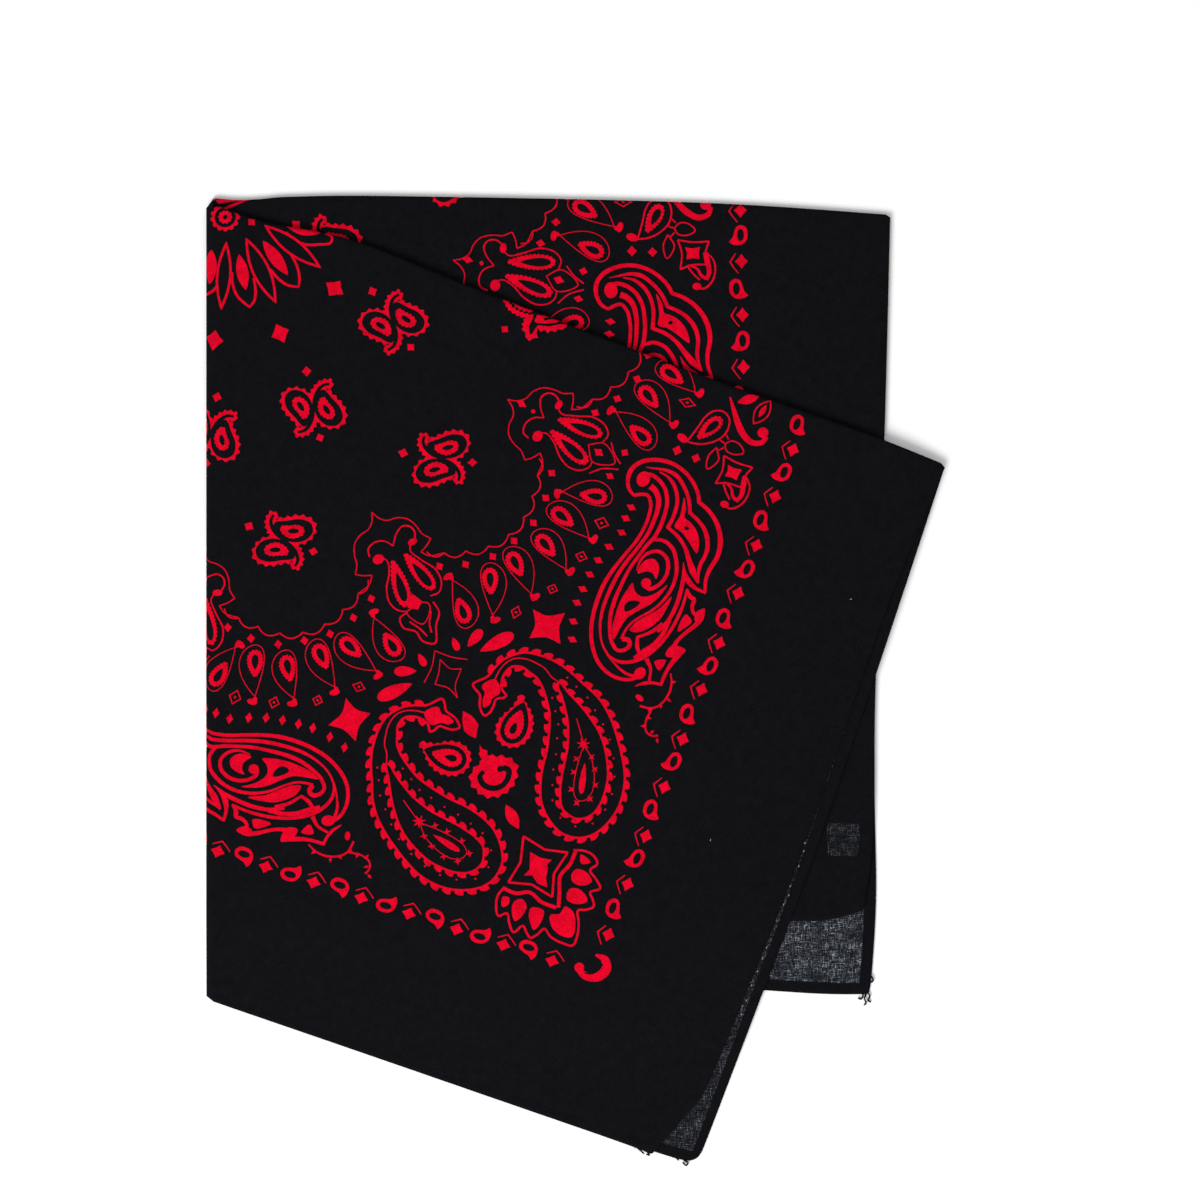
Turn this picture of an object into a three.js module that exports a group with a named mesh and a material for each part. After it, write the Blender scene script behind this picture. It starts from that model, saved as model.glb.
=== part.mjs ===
// A square cotton bandana folded in four and laid flat, with its front pair of plies fanned out
// over the back pair. Millimetres, +Z up, +X to the right and +Y away from whoever looks down on it.
// The outlines are given in a plane whose origin is the corner where both folds meet: the left fold
// runs down from it along x = 0, and the top folds run to the right.
import * as THREE from 'three';

// Driving dimensions
const CLOTH_SIDE = 559;                  // side of the flat square, 22 inches
const MEASURED_SIDE = 559;               // side at which the outline tables below were taken
const WALL = 1.0;                        // thickness of one ply
const GAP = 0.3;                         // room between plies, and at every seam
const HEM_WIDTH = 4.3;                   // turned and stitched edge
const DRAPE_START = 3.0;                 // how far the front pair runs on level past the back pair
const DRAPE_RUN = 36.0;                  // length over which it then sinks to the surface

// Sizes that follow from them
const SCALE = CLOTH_SIDE / MEASURED_SIDE;
const PITCH = WALL + GAP;
const PAIR_HEIGHT = PITCH + WALL;
const PAIR_RADIUS = PAIR_HEIGHT / 2;
const INNER_RADIUS = PAIR_RADIUS - WALL;
const STACK_HEIGHT = 2 * PAIR_HEIGHT + GAP;
const LEFT_AXIS = STACK_HEIGHT / 2;      // the left fold bulges out to x = 0 from this line
const PANEL_LEFT = LEFT_AXIS + GAP;      // every ply starts here, just clear of the left fold

// Outlines of the four plies as points on their edges. The top row runs along the fold, the side
// row down the right hem and the bottom row along the lower hem, from the left fold to the corner.
const OUTLINES = {
  backLower: {
    top: [
      { x: 2.8, y: -0.9 }, { x: 20, y: -0.8 }, { x: 71, y: 0.2 }, { x: 182, y: -2.2 }, { x: 252.7, y: -6.7 },
    ],
    side: [
      { x: 252.7, y: -6.7 }, { x: 250.5, y: -90 }, { x: 247.2, y: -182 }, { x: 247, y: -220 },
      { x: 247.5, y: -258 }, { x: 246, y: -286 }, { x: 244.8, y: -294.9 },
    ],
    bottom: [{ x: 2.8, y: -283.7 }, { x: 206.8, y: -293.2 }, { x: 226, y: -294.9 }, { x: 244.8, y: -294.9 }],
  },
  backUpper: {
    top: [
      { x: 2.8, y: -0.9 }, { x: 20, y: -0.8 }, { x: 71, y: 0.2 }, { x: 182, y: -2.2 }, { x: 252.7, y: -6.7 },
    ],
    side: [
      { x: 252.7, y: -6.7 }, { x: 250.5, y: -90 }, { x: 247.2, y: -182 }, { x: 246.8, y: -220 },
      { x: 245.8, y: -243 }, { x: 242.8, y: -263.8 },
    ],
    bottom: [
      { x: 2.8, y: -258.5 }, { x: 216.3, y: -267.7 }, { x: 231, y: -267.1 }, { x: 242.8, y: -263.8 },
    ],
  },
  frontUnder: {
    top: [
      { x: 3.3, y: -3.4 }, { x: 21.8, y: -9.6 }, { x: 56.2, y: -17 }, { x: 101, y: -34.8 },
      { x: 184.3, y: -66.6 }, { x: 239.8, y: -86.2 }, { x: 273.1, y: -99.2 },
    ],
    side: [
      { x: 273.1, y: -99.2 }, { x: 247.2, y: -176.9 }, { x: 223.9, y: -245.3 }, { x: 206.1, y: -292.7 },
      { x: 191.6, y: -331.2 }, { x: 184.8, y: -348.9 }, { x: 181.5, y: -357.1 },
    ],
    bottom: [{ x: 2.8, y: -296.6 }, { x: 100, y: -330.3 }, { x: 165.4, y: -353.1 }, { x: 181.5, y: -357.1 }],
  },
  frontUpper: {
    top: [
      { x: 3.3, y: -3.4 }, { x: 21.8, y: -9.6 }, { x: 56.2, y: -17 }, { x: 101, y: -34.8 },
      { x: 184.3, y: -66.6 }, { x: 239.8, y: -86.2 }, { x: 273.1, y: -99.2 },
    ],
    side: [
      { x: 273.1, y: -99.2 }, { x: 249.8, y: -156.1 }, { x: 221.5, y: -237.5 }, { x: 199.8, y: -292.7 },
      { x: 185, y: -328.5 }, { x: 176.9, y: -339.7 }, { x: 164.5, y: -354 },
    ],
    bottom: [{ x: 2.8, y: -297.4 }, { x: 100, y: -331.1 }, { x: 152.8, y: -349.4 }, { x: 164.5, y: -354 }],
  },
};

// Number of cells across and down each kind of piece
const GRID = { frontAcross: 26, frontDown: 26, backAcross: 10, backDown: 12, alongHem: 36, arc: 8, leftFold: 24 };

// Finishes: the printed face is near black, the reverse a little greyer
const PRINTED = { color: 0x17141a, roughness: 0.92, metalness: 0 };
const REVERSE = { color: 0x2a2c33, roughness: 0.95, metalness: 0 };

function curveThrough(rows) {
  return new THREE.SplineCurve(rows.map(({ x, y }) => new THREE.Vector2(x * SCALE, y * SCALE)));
}

// A ply's surface between its four edges. The top edge is the shoulder of the fold: the outline
// moved in by the radius of the fold. Returns the surface and the outward normals of that shoulder.
function plySurface(outline) {
  const top = curveThrough(outline.top);
  const side = curveThrough(outline.side);
  const bottom = curveThrough(outline.bottom);
  const foldNormal = (u) => {
    const along = top.getTangentAt(u);
    return new THREE.Vector2(-along.y, along.x);
  };
  const shoulder = (u) => top.getPointAt(u).addScaledVector(foldNormal(u), -PAIR_RADIUS);
  const sideInset = foldNormal(1).multiplyScalar(-PAIR_RADIUS);
  const sidePoint = (v) => side.getPointAt(v).addScaledVector(sideInset, 1 - v);
  const corners = [shoulder(0), shoulder(1), bottom.getPointAt(0), bottom.getPointAt(1)];
  const at = (u, v) => {
    const point = new THREE.Vector2();
    point.addScaledVector(shoulder(u), 1 - v).addScaledVector(bottom.getPointAt(u), v);
    const left = corners[0].clone().lerp(corners[2], v);
    point.addScaledVector(left, 1 - u).addScaledVector(sidePoint(v), u);
    point.addScaledVector(corners[0], -(1 - u) * (1 - v)).addScaledVector(corners[1], -u * (1 - v));
    return point.addScaledVector(corners[2], -(1 - u) * v).addScaledVector(corners[3], -u * v);
  };
  const width = (v) => at(1, v).distanceTo(at(0, v));
  const height = (u) => at(u, 1).distanceTo(at(u, 0));
  return { at, foldNormal, shoulder, width, height };
}

const PLY = {
  backLower: plySurface(OUTLINES.backLower),
  backUpper: plySurface(OUTLINES.backUpper),
  frontUnder: plySurface(OUTLINES.frontUnder),
  frontUpper: plySurface(OUTLINES.frontUpper),
};

// How far a point lies outside a back ply, past its right hem or below its lower hem
function distanceOutside(ply, x, y) {
  const topRight = ply.at(1, 0);
  const bottomRight = ply.at(1, 1);
  const bottomLeft = ply.at(0, 1);
  const share = (y - topRight.y) / (bottomRight.y - topRight.y);
  const pastSide = x - (topRight.x + share * (bottomRight.x - topRight.x));
  const across = (x - bottomLeft.x) / (bottomRight.x - bottomLeft.x);
  const pastBottom = bottomLeft.y + across * (bottomRight.y - bottomLeft.y) - y;
  return Math.max(pastSide, pastBottom);
}

// A slope of two parabolas from 0 to 1, the softest bend for its length
function softStep(t) {
  const share = THREE.MathUtils.clamp(t, 0, 1);
  return share < 0.5 ? 2 * share ** 2 : 1 - 2 * (1 - share) ** 2;
}

// Height of the underside of the front pair: it rides on both back plies, then on the longer one
// alone, and sinks to the surface in a soft slope past each edge
function frontBase({ x, y }) {
  const carriedBy = (ply) => {
    const past = distanceOutside(ply, x, y) - DRAPE_START;
    return PITCH * (1 - softStep(past / DRAPE_RUN));
  };
  return carriedBy(PLY.backLower) + carriedBy(PLY.backUpper);
}

const onFloor = () => 0;

// A closed wall between two grids of points with the same rows and columns
function wallGeometry(outer, inner) {
  const rows = outer.length;
  const columns = outer[0].length;
  const positions = [...outer.flat(), ...inner.flat()].flatMap((p) => [p.x, p.y, p.z]);
  const index = [];
  const quad = (a, b, c, d) => index.push(a, b, c, a, c, d);
  const outerAt = (i, j) => i * columns + j;
  const innerAt = (i, j) => rows * columns + i * columns + j;
  for (let i = 0; i + 1 < rows; i += 1) {
    for (let j = 0; j + 1 < columns; j += 1) {
      quad(outerAt(i, j), outerAt(i, j + 1), outerAt(i + 1, j + 1), outerAt(i + 1, j));
      quad(innerAt(i, j), innerAt(i + 1, j), innerAt(i + 1, j + 1), innerAt(i, j + 1));
    }
    quad(outerAt(i, 0), outerAt(i + 1, 0), innerAt(i + 1, 0), innerAt(i, 0));
    quad(outerAt(i, columns - 1), innerAt(i, columns - 1), innerAt(i + 1, columns - 1), outerAt(i + 1, columns - 1));
  }
  for (let j = 0; j + 1 < columns; j += 1) {
    quad(outerAt(0, j), innerAt(0, j), innerAt(0, j + 1), outerAt(0, j + 1));
    quad(outerAt(rows - 1, j), outerAt(rows - 1, j + 1), innerAt(rows - 1, j + 1), innerAt(rows - 1, j));
  }
  const geometry = new THREE.BufferGeometry();
  geometry.setAttribute('position', new THREE.Float32BufferAttribute(positions, 3));
  geometry.setIndex(signedVolume(positions, index) < 0 ? turnedRound(index) : index);
  geometry.computeVertexNormals();
  return geometry;
}

function signedVolume(positions, index) {
  const corner = (k) => new THREE.Vector3().fromArray(positions, 3 * index[k]);
  let sum = 0;
  for (let k = 0; k < index.length; k += 3) {
    sum += corner(k).dot(corner(k + 1).cross(corner(k + 2)));
  }
  return sum / 6;
}

function turnedRound(index) {
  return index.map((_, k) => index[k - (k % 3) + (2 - (k % 3))]);
}

function steps(count) {
  return Array.from({ length: count + 1 }, (_, k) => k / count);
}

// A flat piece of a ply. It spans the given shares of the ply's width and height, which may depend
// on where it is measured, and lies with its underside at base(point) + level.
function layFlat(ply, { across, down, cells, base, level }) {
  const column = (u, bottomFace) => steps(cells.down).map((t) => {
    const [v0, v1] = down(ply.height(u));
    const v = THREE.MathUtils.lerp(v0, v1, t);
    const [u0, u1] = across(ply.width(v));
    const flat = ply.at(THREE.MathUtils.lerp(u0, u1, u), v);
    return new THREE.Vector3(flat.x, flat.y, base(flat) + level + (bottomFace ? 0 : WALL));
  });
  const grid = (bottomFace) => steps(cells.across).map((u) => column(u, bottomFace));
  return { outer: grid(false), inner: grid(true) };
}

// The rows of a ply that rolls over the top fold, from the lower ply's level up to its own
function rollOverFold(ply, { across, cells, base, level }) {
  const [u0, u1] = across(ply.width(0));
  const column = (t, radius) => steps(GRID.arc).slice(0, -1).map((share) => {
    const u = THREE.MathUtils.lerp(u0, u1, t);
    const shoulder = ply.shoulder(u);
    const turn = Math.PI * (share - 0.5);
    const flat = shoulder.clone().addScaledVector(ply.foldNormal(u), radius * Math.cos(turn));
    const axis = base(shoulder) + level - PITCH + PAIR_RADIUS;
    return new THREE.Vector3(flat.x, flat.y, axis + radius * Math.sin(turn));
  });
  const grid = (radius) => steps(cells.across).map((t) => column(t, radius));
  return { outer: grid(PAIR_RADIUS), inner: grid(INNER_RADIUS) };
}

const HEM_INSET = HEM_WIDTH + GAP;
const insidePanel = (size) => [0, 1 - HEM_INSET / size];
const pastFold = (size) => [GAP / size, 1 - HEM_INSET / size];
const onlyHem = (size) => [1 - HEM_WIDTH / size, 1];
const pastFoldToEdge = (size) => [GAP / size, 1];
const wholeHeight = () => [0, 1];

function named(name, geometry, finish) {
  const mesh = new THREE.Mesh(geometry, new THREE.MeshStandardMaterial(finish));
  mesh.name = name;
  return mesh;
}

// The upper ply of a pair, or its side hem, with the turn over the top fold in the same piece
function foldedStrip(ply, { across, down, cells, base, level }) {
  const roll = rollOverFold(ply, { across, cells, base, level });
  const flat = layFlat(ply, { across, down, cells, base, level });
  const joined = (face) => roll[face].map((column, i) => [...column, ...flat[face][i]]);
  return wallGeometry(joined('outer'), joined('inner'));
}

function upperPly(name, ply, cells, base, level) {
  const geometry = foldedStrip(ply, { across: insidePanel, down: insidePanel, cells, base, level });
  return named(name, geometry, PRINTED);
}

function lowerPly(name, ply, cells, base, level) {
  const { outer, inner } = layFlat(ply, { across: insidePanel, down: pastFold, cells, base, level });
  return named(name, wallGeometry(outer, inner), REVERSE);
}

// The two turned hems of a ply: the side hem has the ply's full height, the bottom hem meets it.
// The side hem of an upper ply turns over the top fold with its ply.
function hems(name, ply, base, level, finish) {
  const sideCells = { across: 1, down: GRID.alongHem };
  const bottomCells = { across: GRID.alongHem, down: 1 };
  const strip = { across: onlyHem, cells: sideCells, base, level };
  const { outer, inner } = layFlat(ply, { ...strip, down: pastFoldToEdge });
  const side = level > 0 ? foldedStrip(ply, { ...strip, down: wholeHeight }) : wallGeometry(outer, inner);
  const bottom = layFlat(ply, { across: insidePanel, down: onlyHem, cells: bottomCells, base, level });
  return [
    named(`${name}_side_hem`, side, finish),
    named(`${name}_bottom_hem`, wallGeometry(bottom.outer, bottom.inner), finish),
  ];
}

// A ply's turn round the left fold, from a lower ply up to an upper one. The section is half an
// ellipse of the given reach, and its ends follow the hems of the two plies that it joins.
function leftFold(name, { lower, upper, reach, lowerLevel, upperTop, finish }) {
  const start = (share) => THREE.MathUtils.lerp(lower.at(0, 0).y, upper.at(0, 0).y, share);
  const end = (share) => THREE.MathUtils.lerp(lower.at(0, 1).y, upper.at(0, 1).y, share);
  const column = (along, inset) => steps(GRID.arc).map((share) => {
    const y = THREE.MathUtils.lerp(start(share), end(share), along);
    const top = frontBase({ x: PANEL_LEFT, y }) + upperTop;
    const halfHeight = (top - lowerLevel) / 2;
    const turn = Math.PI * (share - 0.5);
    return new THREE.Vector3(
      LEFT_AXIS - (reach - inset) * Math.cos(turn),
      y,
      lowerLevel + halfHeight + (halfHeight - inset) * Math.sin(turn),
    );
  });
  const grid = (inset) => steps(GRID.leftFold).map((along) => column(along, inset));
  return named(name, wallGeometry(grid(0), grid(WALL)), finish);
}

const FRONT_CELLS = { across: GRID.frontAcross, down: GRID.frontDown };
const BACK_CELLS = { across: GRID.backAcross, down: GRID.backDown };

const bandana = new THREE.Group();
bandana.add(
  lowerPly('back_lower_ply', PLY.backLower, BACK_CELLS, onFloor, 0),
  ...hems('back_lower', PLY.backLower, onFloor, 0, REVERSE),
  upperPly('back_upper_ply', PLY.backUpper, BACK_CELLS, onFloor, PITCH),
  ...hems('back_upper', PLY.backUpper, onFloor, PITCH, PRINTED),
  lowerPly('front_under_ply', PLY.frontUnder, FRONT_CELLS, frontBase, 0),
  ...hems('front_under', PLY.frontUnder, frontBase, 0, REVERSE),
  upperPly('front_upper_ply', PLY.frontUpper, FRONT_CELLS, frontBase, PITCH),
  ...hems('front_upper', PLY.frontUpper, frontBase, PITCH, PRINTED),
  leftFold('left_fold_inner', {
    lower: PLY.backUpper, upper: PLY.frontUnder, reach: PAIR_RADIUS,
    lowerLevel: PITCH, upperTop: WALL, finish: REVERSE,
  }),
  leftFold('left_fold_outer', {
    lower: PLY.backLower, upper: PLY.frontUpper, reach: LEFT_AXIS,
    lowerLevel: 0, upperTop: PAIR_HEIGHT, finish: PRINTED,
  }),
);

// The origin is the middle of the folded outline, on the surface that it lies on
const outlineBox = new THREE.Box3().setFromObject(bandana, true);
const middle = outlineBox.getCenter(new THREE.Vector3());
bandana.position.set(-middle.x, -middle.y, 0);

export default bandana;
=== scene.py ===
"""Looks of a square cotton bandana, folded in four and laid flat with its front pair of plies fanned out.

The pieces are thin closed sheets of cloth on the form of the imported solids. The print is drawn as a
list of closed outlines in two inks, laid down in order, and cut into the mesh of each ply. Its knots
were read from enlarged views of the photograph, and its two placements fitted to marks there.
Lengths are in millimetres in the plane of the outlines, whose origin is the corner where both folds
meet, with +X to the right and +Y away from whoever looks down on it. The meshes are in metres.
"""

from __future__ import annotations

import logging
import math
from dataclasses import dataclass, field
from enum import Enum
from typing import Callable, Sequence

import bpy
import numpy as np
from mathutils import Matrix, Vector
from mathutils.geometry import delaunay_2d_cdt

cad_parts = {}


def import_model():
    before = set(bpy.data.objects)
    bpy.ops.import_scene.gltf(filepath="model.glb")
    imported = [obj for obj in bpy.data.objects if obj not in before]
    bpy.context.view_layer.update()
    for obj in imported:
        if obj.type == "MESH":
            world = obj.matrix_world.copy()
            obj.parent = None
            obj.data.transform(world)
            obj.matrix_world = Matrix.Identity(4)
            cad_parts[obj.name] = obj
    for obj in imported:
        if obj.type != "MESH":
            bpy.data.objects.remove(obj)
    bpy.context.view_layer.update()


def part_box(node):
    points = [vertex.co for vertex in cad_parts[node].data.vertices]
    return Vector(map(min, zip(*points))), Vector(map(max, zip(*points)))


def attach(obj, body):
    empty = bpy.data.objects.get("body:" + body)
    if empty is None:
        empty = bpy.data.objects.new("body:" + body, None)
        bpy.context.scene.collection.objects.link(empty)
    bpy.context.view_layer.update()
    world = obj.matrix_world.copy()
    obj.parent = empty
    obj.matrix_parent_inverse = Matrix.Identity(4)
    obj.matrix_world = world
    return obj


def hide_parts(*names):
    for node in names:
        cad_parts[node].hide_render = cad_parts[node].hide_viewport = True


LOG = logging.getLogger("bandana")
MM = 0.001
LINE_STEP = 0.7
RING_STEP = 0.55
THINNEST = 0.04
CHUNK = 4000

Knots = Sequence[tuple[float, float]]


# Sizes of the cloth and outlines of its plies


@dataclass(frozen=True)
class ClothSizes:
    """Driving sizes of the folded cloth, as the CAD part has them."""

    side: float = 559.0
    wall: float = 1.0
    gap: float = 0.3
    hem: float = 4.3
    drape_start: float = 3.0
    drape_run: float = 36.0

    @property
    def pitch(self) -> float:
        """Rise from one ply to the next."""
        return self.wall + self.gap

    @property
    def fold_radius(self) -> float:
        """Outer radius of the fold of one pair of plies."""
        return (self.pitch + self.wall) / 2

    @property
    def left_reach(self) -> float:
        """How far the left fold bulges out."""
        return (2 * (self.pitch + self.wall) + self.gap) / 2


SIZES = ClothSizes()


@dataclass(frozen=True)
class PlyOutline:
    """Points on the three free edges of a ply, from the left fold to the right hem."""

    top: Knots
    side: Knots
    bottom: Knots


BACK_TOP: Knots = (
    (2.8, -0.5), (10.5, -1.2), (20, -0.9), (32, 0.0), (71, 0.2), (182, -2.2), (252.7, -6.7),
)
FRONT_TOP: Knots = (
    (3.3, -3.4), (21.8, -9.6), (56.2, -17), (101, -34.8), (184.3, -66.6), (239.8, -86.2), (273.1, -99.2),
)
BACK_LOWER = PlyOutline(
    BACK_TOP,
    (
        (252.7, -6.7), (250.5, -90), (247.2, -182), (247, -220), (247.5, -258), (246, -286),
        (244.8, -294.9),
    ),
    ((2.8, -283.7), (105, -288.4), (190, -292.5), (226, -294.7), (244.8, -294.9)),
)
BACK_UPPER = PlyOutline(
    BACK_TOP,
    ((252.7, -6.7), (250.5, -90), (247.2, -182), (246.8, -220), (245.8, -243), (242.8, -263.8)),
    ((2.8, -258.5), (110, -263.1), (195, -266.8), (216.3, -267.7), (231, -267.1), (242.8, -263.8)),
)
FRONT_UNDER = PlyOutline(
    FRONT_TOP,
    (
        (273.1, -99.2), (247.2, -176.9), (223.9, -245.3), (206.1, -292.7), (191.6, -331.2),
        (184.8, -348.9), (181.5, -357.1),
    ),
    ((2.8, -296.6), (100, -330.3), (165.4, -353.1), (181.5, -357.1)),
)
FRONT_UPPER = PlyOutline(
    FRONT_TOP,
    (
        (273.1, -99.2), (249.8, -156.1), (221.5, -237.5), (199.8, -292.7), (185, -328.5),
        (176.9, -339.7), (164.5, -354),
    ),
    ((2.8, -297.4), (100, -331.1), (152.8, -349.4), (164.5, -354)),
)


class EdgeCurve:
    """A spline through the points of one edge, read by its share of the length."""

    SAMPLES = 60

    def __init__(self, knots: Knots) -> None:
        """Sample the spline.

        Args:
            knots: points on the edge, in order.
        """
        z = np.array([complex(x, y) for x, y in knots])
        ends = np.concatenate([z[:1], z, z[-1:]])
        t = (np.arange(self.SAMPLES) / self.SAMPLES)[None, :]
        before, start, stop, after = (ends[i : len(ends) - 3 + i][:, None] for i in range(4))
        slope_in, slope_out = (stop - before) / 2, (after - start) / 2
        curve = (
            (2 * start - 2 * stop + slope_in + slope_out) * t**3
            + (-3 * start + 3 * stop - 2 * slope_in - slope_out) * t**2
            + slope_in * t
            + start
        )
        self.points = np.append(curve.ravel(), z[-1])
        self.reach = np.concatenate([[0.0], np.cumsum(np.abs(np.diff(self.points)))])

    def at(self, share: np.ndarray | float) -> np.ndarray:
        """Points at shares of the length.

        Args:
            share: from 0 to 1.

        Returns:
            Complex points.
        """
        mark = np.asarray(share) * self.reach[-1]
        across = np.interp(mark, self.reach, self.points.real)
        return across + 1j * np.interp(mark, self.reach, self.points.imag)

    def normal(self, share: np.ndarray | float) -> np.ndarray:
        """Unit normals on the left of the way along the edge.

        Args:
            share: from 0 to 1.

        Returns:
            Complex unit vectors.
        """
        share = np.asarray(share, float)
        along = self.at(np.clip(share + 1e-3, 0, 1)) - self.at(np.clip(share - 1e-3, 0, 1))
        return along / np.abs(along) * 1j


class PlySurface:
    """A ply's surface between its four edges; the top one is the shoulder of the fold."""

    def __init__(self, outline: PlyOutline) -> None:
        """Set up the edges.

        Args:
            outline: points on the free edges.
        """
        self.top = EdgeCurve(outline.top)
        self.side = EdgeCurve(outline.side)
        self.bottom = EdgeCurve(outline.bottom)

    def shoulder(self, u: np.ndarray | float) -> np.ndarray:
        """Points on the shoulder, one fold radius inside the outline.

        Args:
            u: share of the length of the fold.

        Returns:
            Complex points.
        """
        return self.top.at(u) - SIZES.fold_radius * self.top.normal(u)

    def side_point(self, v: np.ndarray | float) -> np.ndarray:
        """Points on the right hem's edge.

        Args:
            v: share of the way down.

        Returns:
            Complex points.
        """
        return self.side.at(v) - SIZES.fold_radius * self.top.normal(1.0) * (1 - np.asarray(v))

    def at(self, u: np.ndarray | float, v: np.ndarray | float) -> np.ndarray:
        """The surface as a patch between its four edges.

        Args:
            u: share across, from the left fold.
            v: share down, from the shoulder.

        Returns:
            Complex points.
        """
        u, v = np.asarray(u, float), np.asarray(v, float)
        first, second = self.shoulder(0.0), self.shoulder(1.0)
        third, fourth = self.bottom.at(0.0), self.bottom.at(1.0)
        rows = self.shoulder(u) * (1 - v) + self.bottom.at(u) * v
        columns = (first * (1 - v) + third * v) * (1 - u) + self.side_point(v) * u
        corners = (first * (1 - u) + second * u) * (1 - v) + (third * (1 - u) + fourth * u) * v
        return rows + columns - corners


PLY_SURFACES = {
    "back_lower": PlySurface(BACK_LOWER),
    "back_upper": PlySurface(BACK_UPPER),
    "front_under": PlySurface(FRONT_UNDER),
    "front_upper": PlySurface(FRONT_UPPER),
}


def soft_step(t: np.ndarray) -> np.ndarray:
    """A slope of two parabolas from 0 to 1.

    Args:
        t: share of the slope's length.

    Returns:
        Share of its height.
    """
    share = np.clip(t, 0, 1)
    return np.where(share < 0.5, 2 * share**2, 1 - 2 * (1 - share) ** 2)


def on_floor(points: np.ndarray) -> np.ndarray:
    """Height of the underside of the back pair, which lies on the surface.

    Args:
        points: complex points in the plane.

    Returns:
        Zeros.
    """
    return np.zeros(points.shape)


def front_base(points: np.ndarray) -> np.ndarray:
    """Height of the underside of the front pair: on both back plies, then on one, then on the surface.

    Args:
        points: complex points in the plane.

    Returns:
        Heights.
    """
    height = np.zeros(points.shape)
    for name in ("back_lower", "back_upper"):
        ply = PLY_SURFACES[name]
        top_right, bottom_right, bottom_left = ply.at(1, 0), ply.at(1, 1), ply.at(0, 1)
        share = (points.imag - top_right.imag) / (bottom_right.imag - top_right.imag)
        past_side = points.real - (top_right.real + share * (bottom_right.real - top_right.real))
        across = (points.real - bottom_left.real) / (bottom_right.real - bottom_left.real)
        past_bottom = bottom_left.imag + across * (bottom_right.imag - bottom_left.imag) - points.imag
        outside = np.maximum(past_side, past_bottom) - SIZES.drape_start
        height += SIZES.pitch * (1 - soft_step(outside / SIZES.drape_run))
    return height


# The print


class Ink(Enum):
    """The colours of the print; a shape in black clears what lies below it."""

    BLACK = 0
    RED = 1


class Tooth(Enum):
    """The form of a separate tooth."""

    ROUND = "round"
    SHINGLE = "shingle"


def polar(radius: float, degrees: float) -> complex:
    """A point from its distance and its angle.

    Args:
        radius: distance from the origin.
        degrees: angle from the first axis.

    Returns:
        The point.
    """
    return radius * complex(math.cos(math.radians(degrees)), math.sin(math.radians(degrees)))


def knots_of(points: Knots) -> np.ndarray:
    """Knots as complex points.

    Args:
        points: pairs of numbers.

    Returns:
        Complex points.
    """
    return np.array([complex(x, y) for x, y in points])


def even(path: np.ndarray, spacing: float, closed: bool) -> np.ndarray:
    """Points at even steps along a path.

    Args:
        path: complex points.
        spacing: length of a step.
        closed: whether the path is a loop.

    Returns:
        Complex points.
    """
    loop = np.append(path, path[0]) if closed else path
    reach = np.concatenate([[0.0], np.cumsum(np.abs(np.diff(loop)))])
    count = max(int(math.ceil(reach[-1] / spacing)), 3)
    marks = np.linspace(0.0, reach[-1], count + 1)
    out = np.interp(marks, reach, loop.real) + 1j * np.interp(marks, reach, loop.imag)
    return out[:-1] if closed else out


def smooth(points: Knots, closed: bool = False, steps: int = 6) -> np.ndarray:
    """A cubic curve through knots; its slope at a knot is the mean of the neighbouring chords.

    Args:
        points: the knots.
        closed: whether the curve is a loop.
        steps: points from one knot to the next.

    Returns:
        Complex points.
    """
    z = knots_of(points)
    first, last = [2 * z[0] - z[1]], [2 * z[-1] - z[-2]]
    ring = np.concatenate([z[-1:], z, z[:2]] if closed else [first, z, last])
    chord = np.diff(ring)
    length = np.maximum(np.abs(chord), 1e-6)
    heading = chord / length
    slope = (heading[:-1] * length[1:] + heading[1:] * length[:-1]) / (length[:-1] + length[1:])
    start, stop, span = ring[1:-2], ring[2:-1], length[1:-1]
    t = (np.arange(steps) / steps)[None, :]
    a, b = slope[:-1, None] * span[:, None], slope[1:, None] * span[:, None]
    p, q = start[:, None], stop[:, None]
    ease = 3 * t**2 - 2 * t**3
    curve = (1 - ease) * p + (t**3 - 2 * t**2 + t) * a + ease * q + (t**3 - t**2) * b
    flat = curve.ravel()
    return flat if closed else np.append(flat, z[-1])


def cornered(*runs: Knots) -> np.ndarray:
    """A closed outline of smooth runs that meet in corners.

    Args:
        runs: the knots of each run.

    Returns:
        Complex points.
    """
    return np.concatenate([smooth(run)[:-1] for run in runs])


def outward(outline: np.ndarray) -> np.ndarray:
    """Unit normals that point out of a closed outline.

    Args:
        outline: anticlockwise loop.

    Returns:
        Complex unit vectors.
    """
    along = np.roll(outline, -1) - np.roll(outline, 1)
    return along / np.maximum(np.abs(along), 1e-9) * -1j


def turned_right(outline: np.ndarray) -> np.ndarray:
    """The outline in anticlockwise order.

    Args:
        outline: closed loop.

    Returns:
        The same loop, turned round if needed.
    """
    area = np.sum(outline.real * np.roll(outline.imag, -1) - outline.imag * np.roll(outline.real, -1))
    return outline if area > 0 else outline[::-1]


def inset(outline: np.ndarray, depth: float) -> np.ndarray:
    """The outline moved inwards.

    Args:
        outline: closed loop.
        depth: how far.

    Returns:
        Complex points.
    """
    ring = turned_right(outline)
    return ring - depth * outward(ring)


def toothed(outline: np.ndarray, pitch: float, height: float) -> np.ndarray:
    """The outline with round scallops that stand out.

    Args:
        outline: closed loop.
        pitch: length of a scallop.
        height: how far it stands out.

    Returns:
        Complex points.
    """
    length = np.sum(np.abs(np.diff(np.append(outline, outline[0]))))
    count = max(int(round(length / pitch)), 3)
    ring = even(turned_right(outline), length / (6 * count), True)
    phase = np.arange(len(ring)) / 6.0
    return ring + height * np.abs(np.sin(np.pi * phase)) ** 0.8 * outward(ring)


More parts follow.
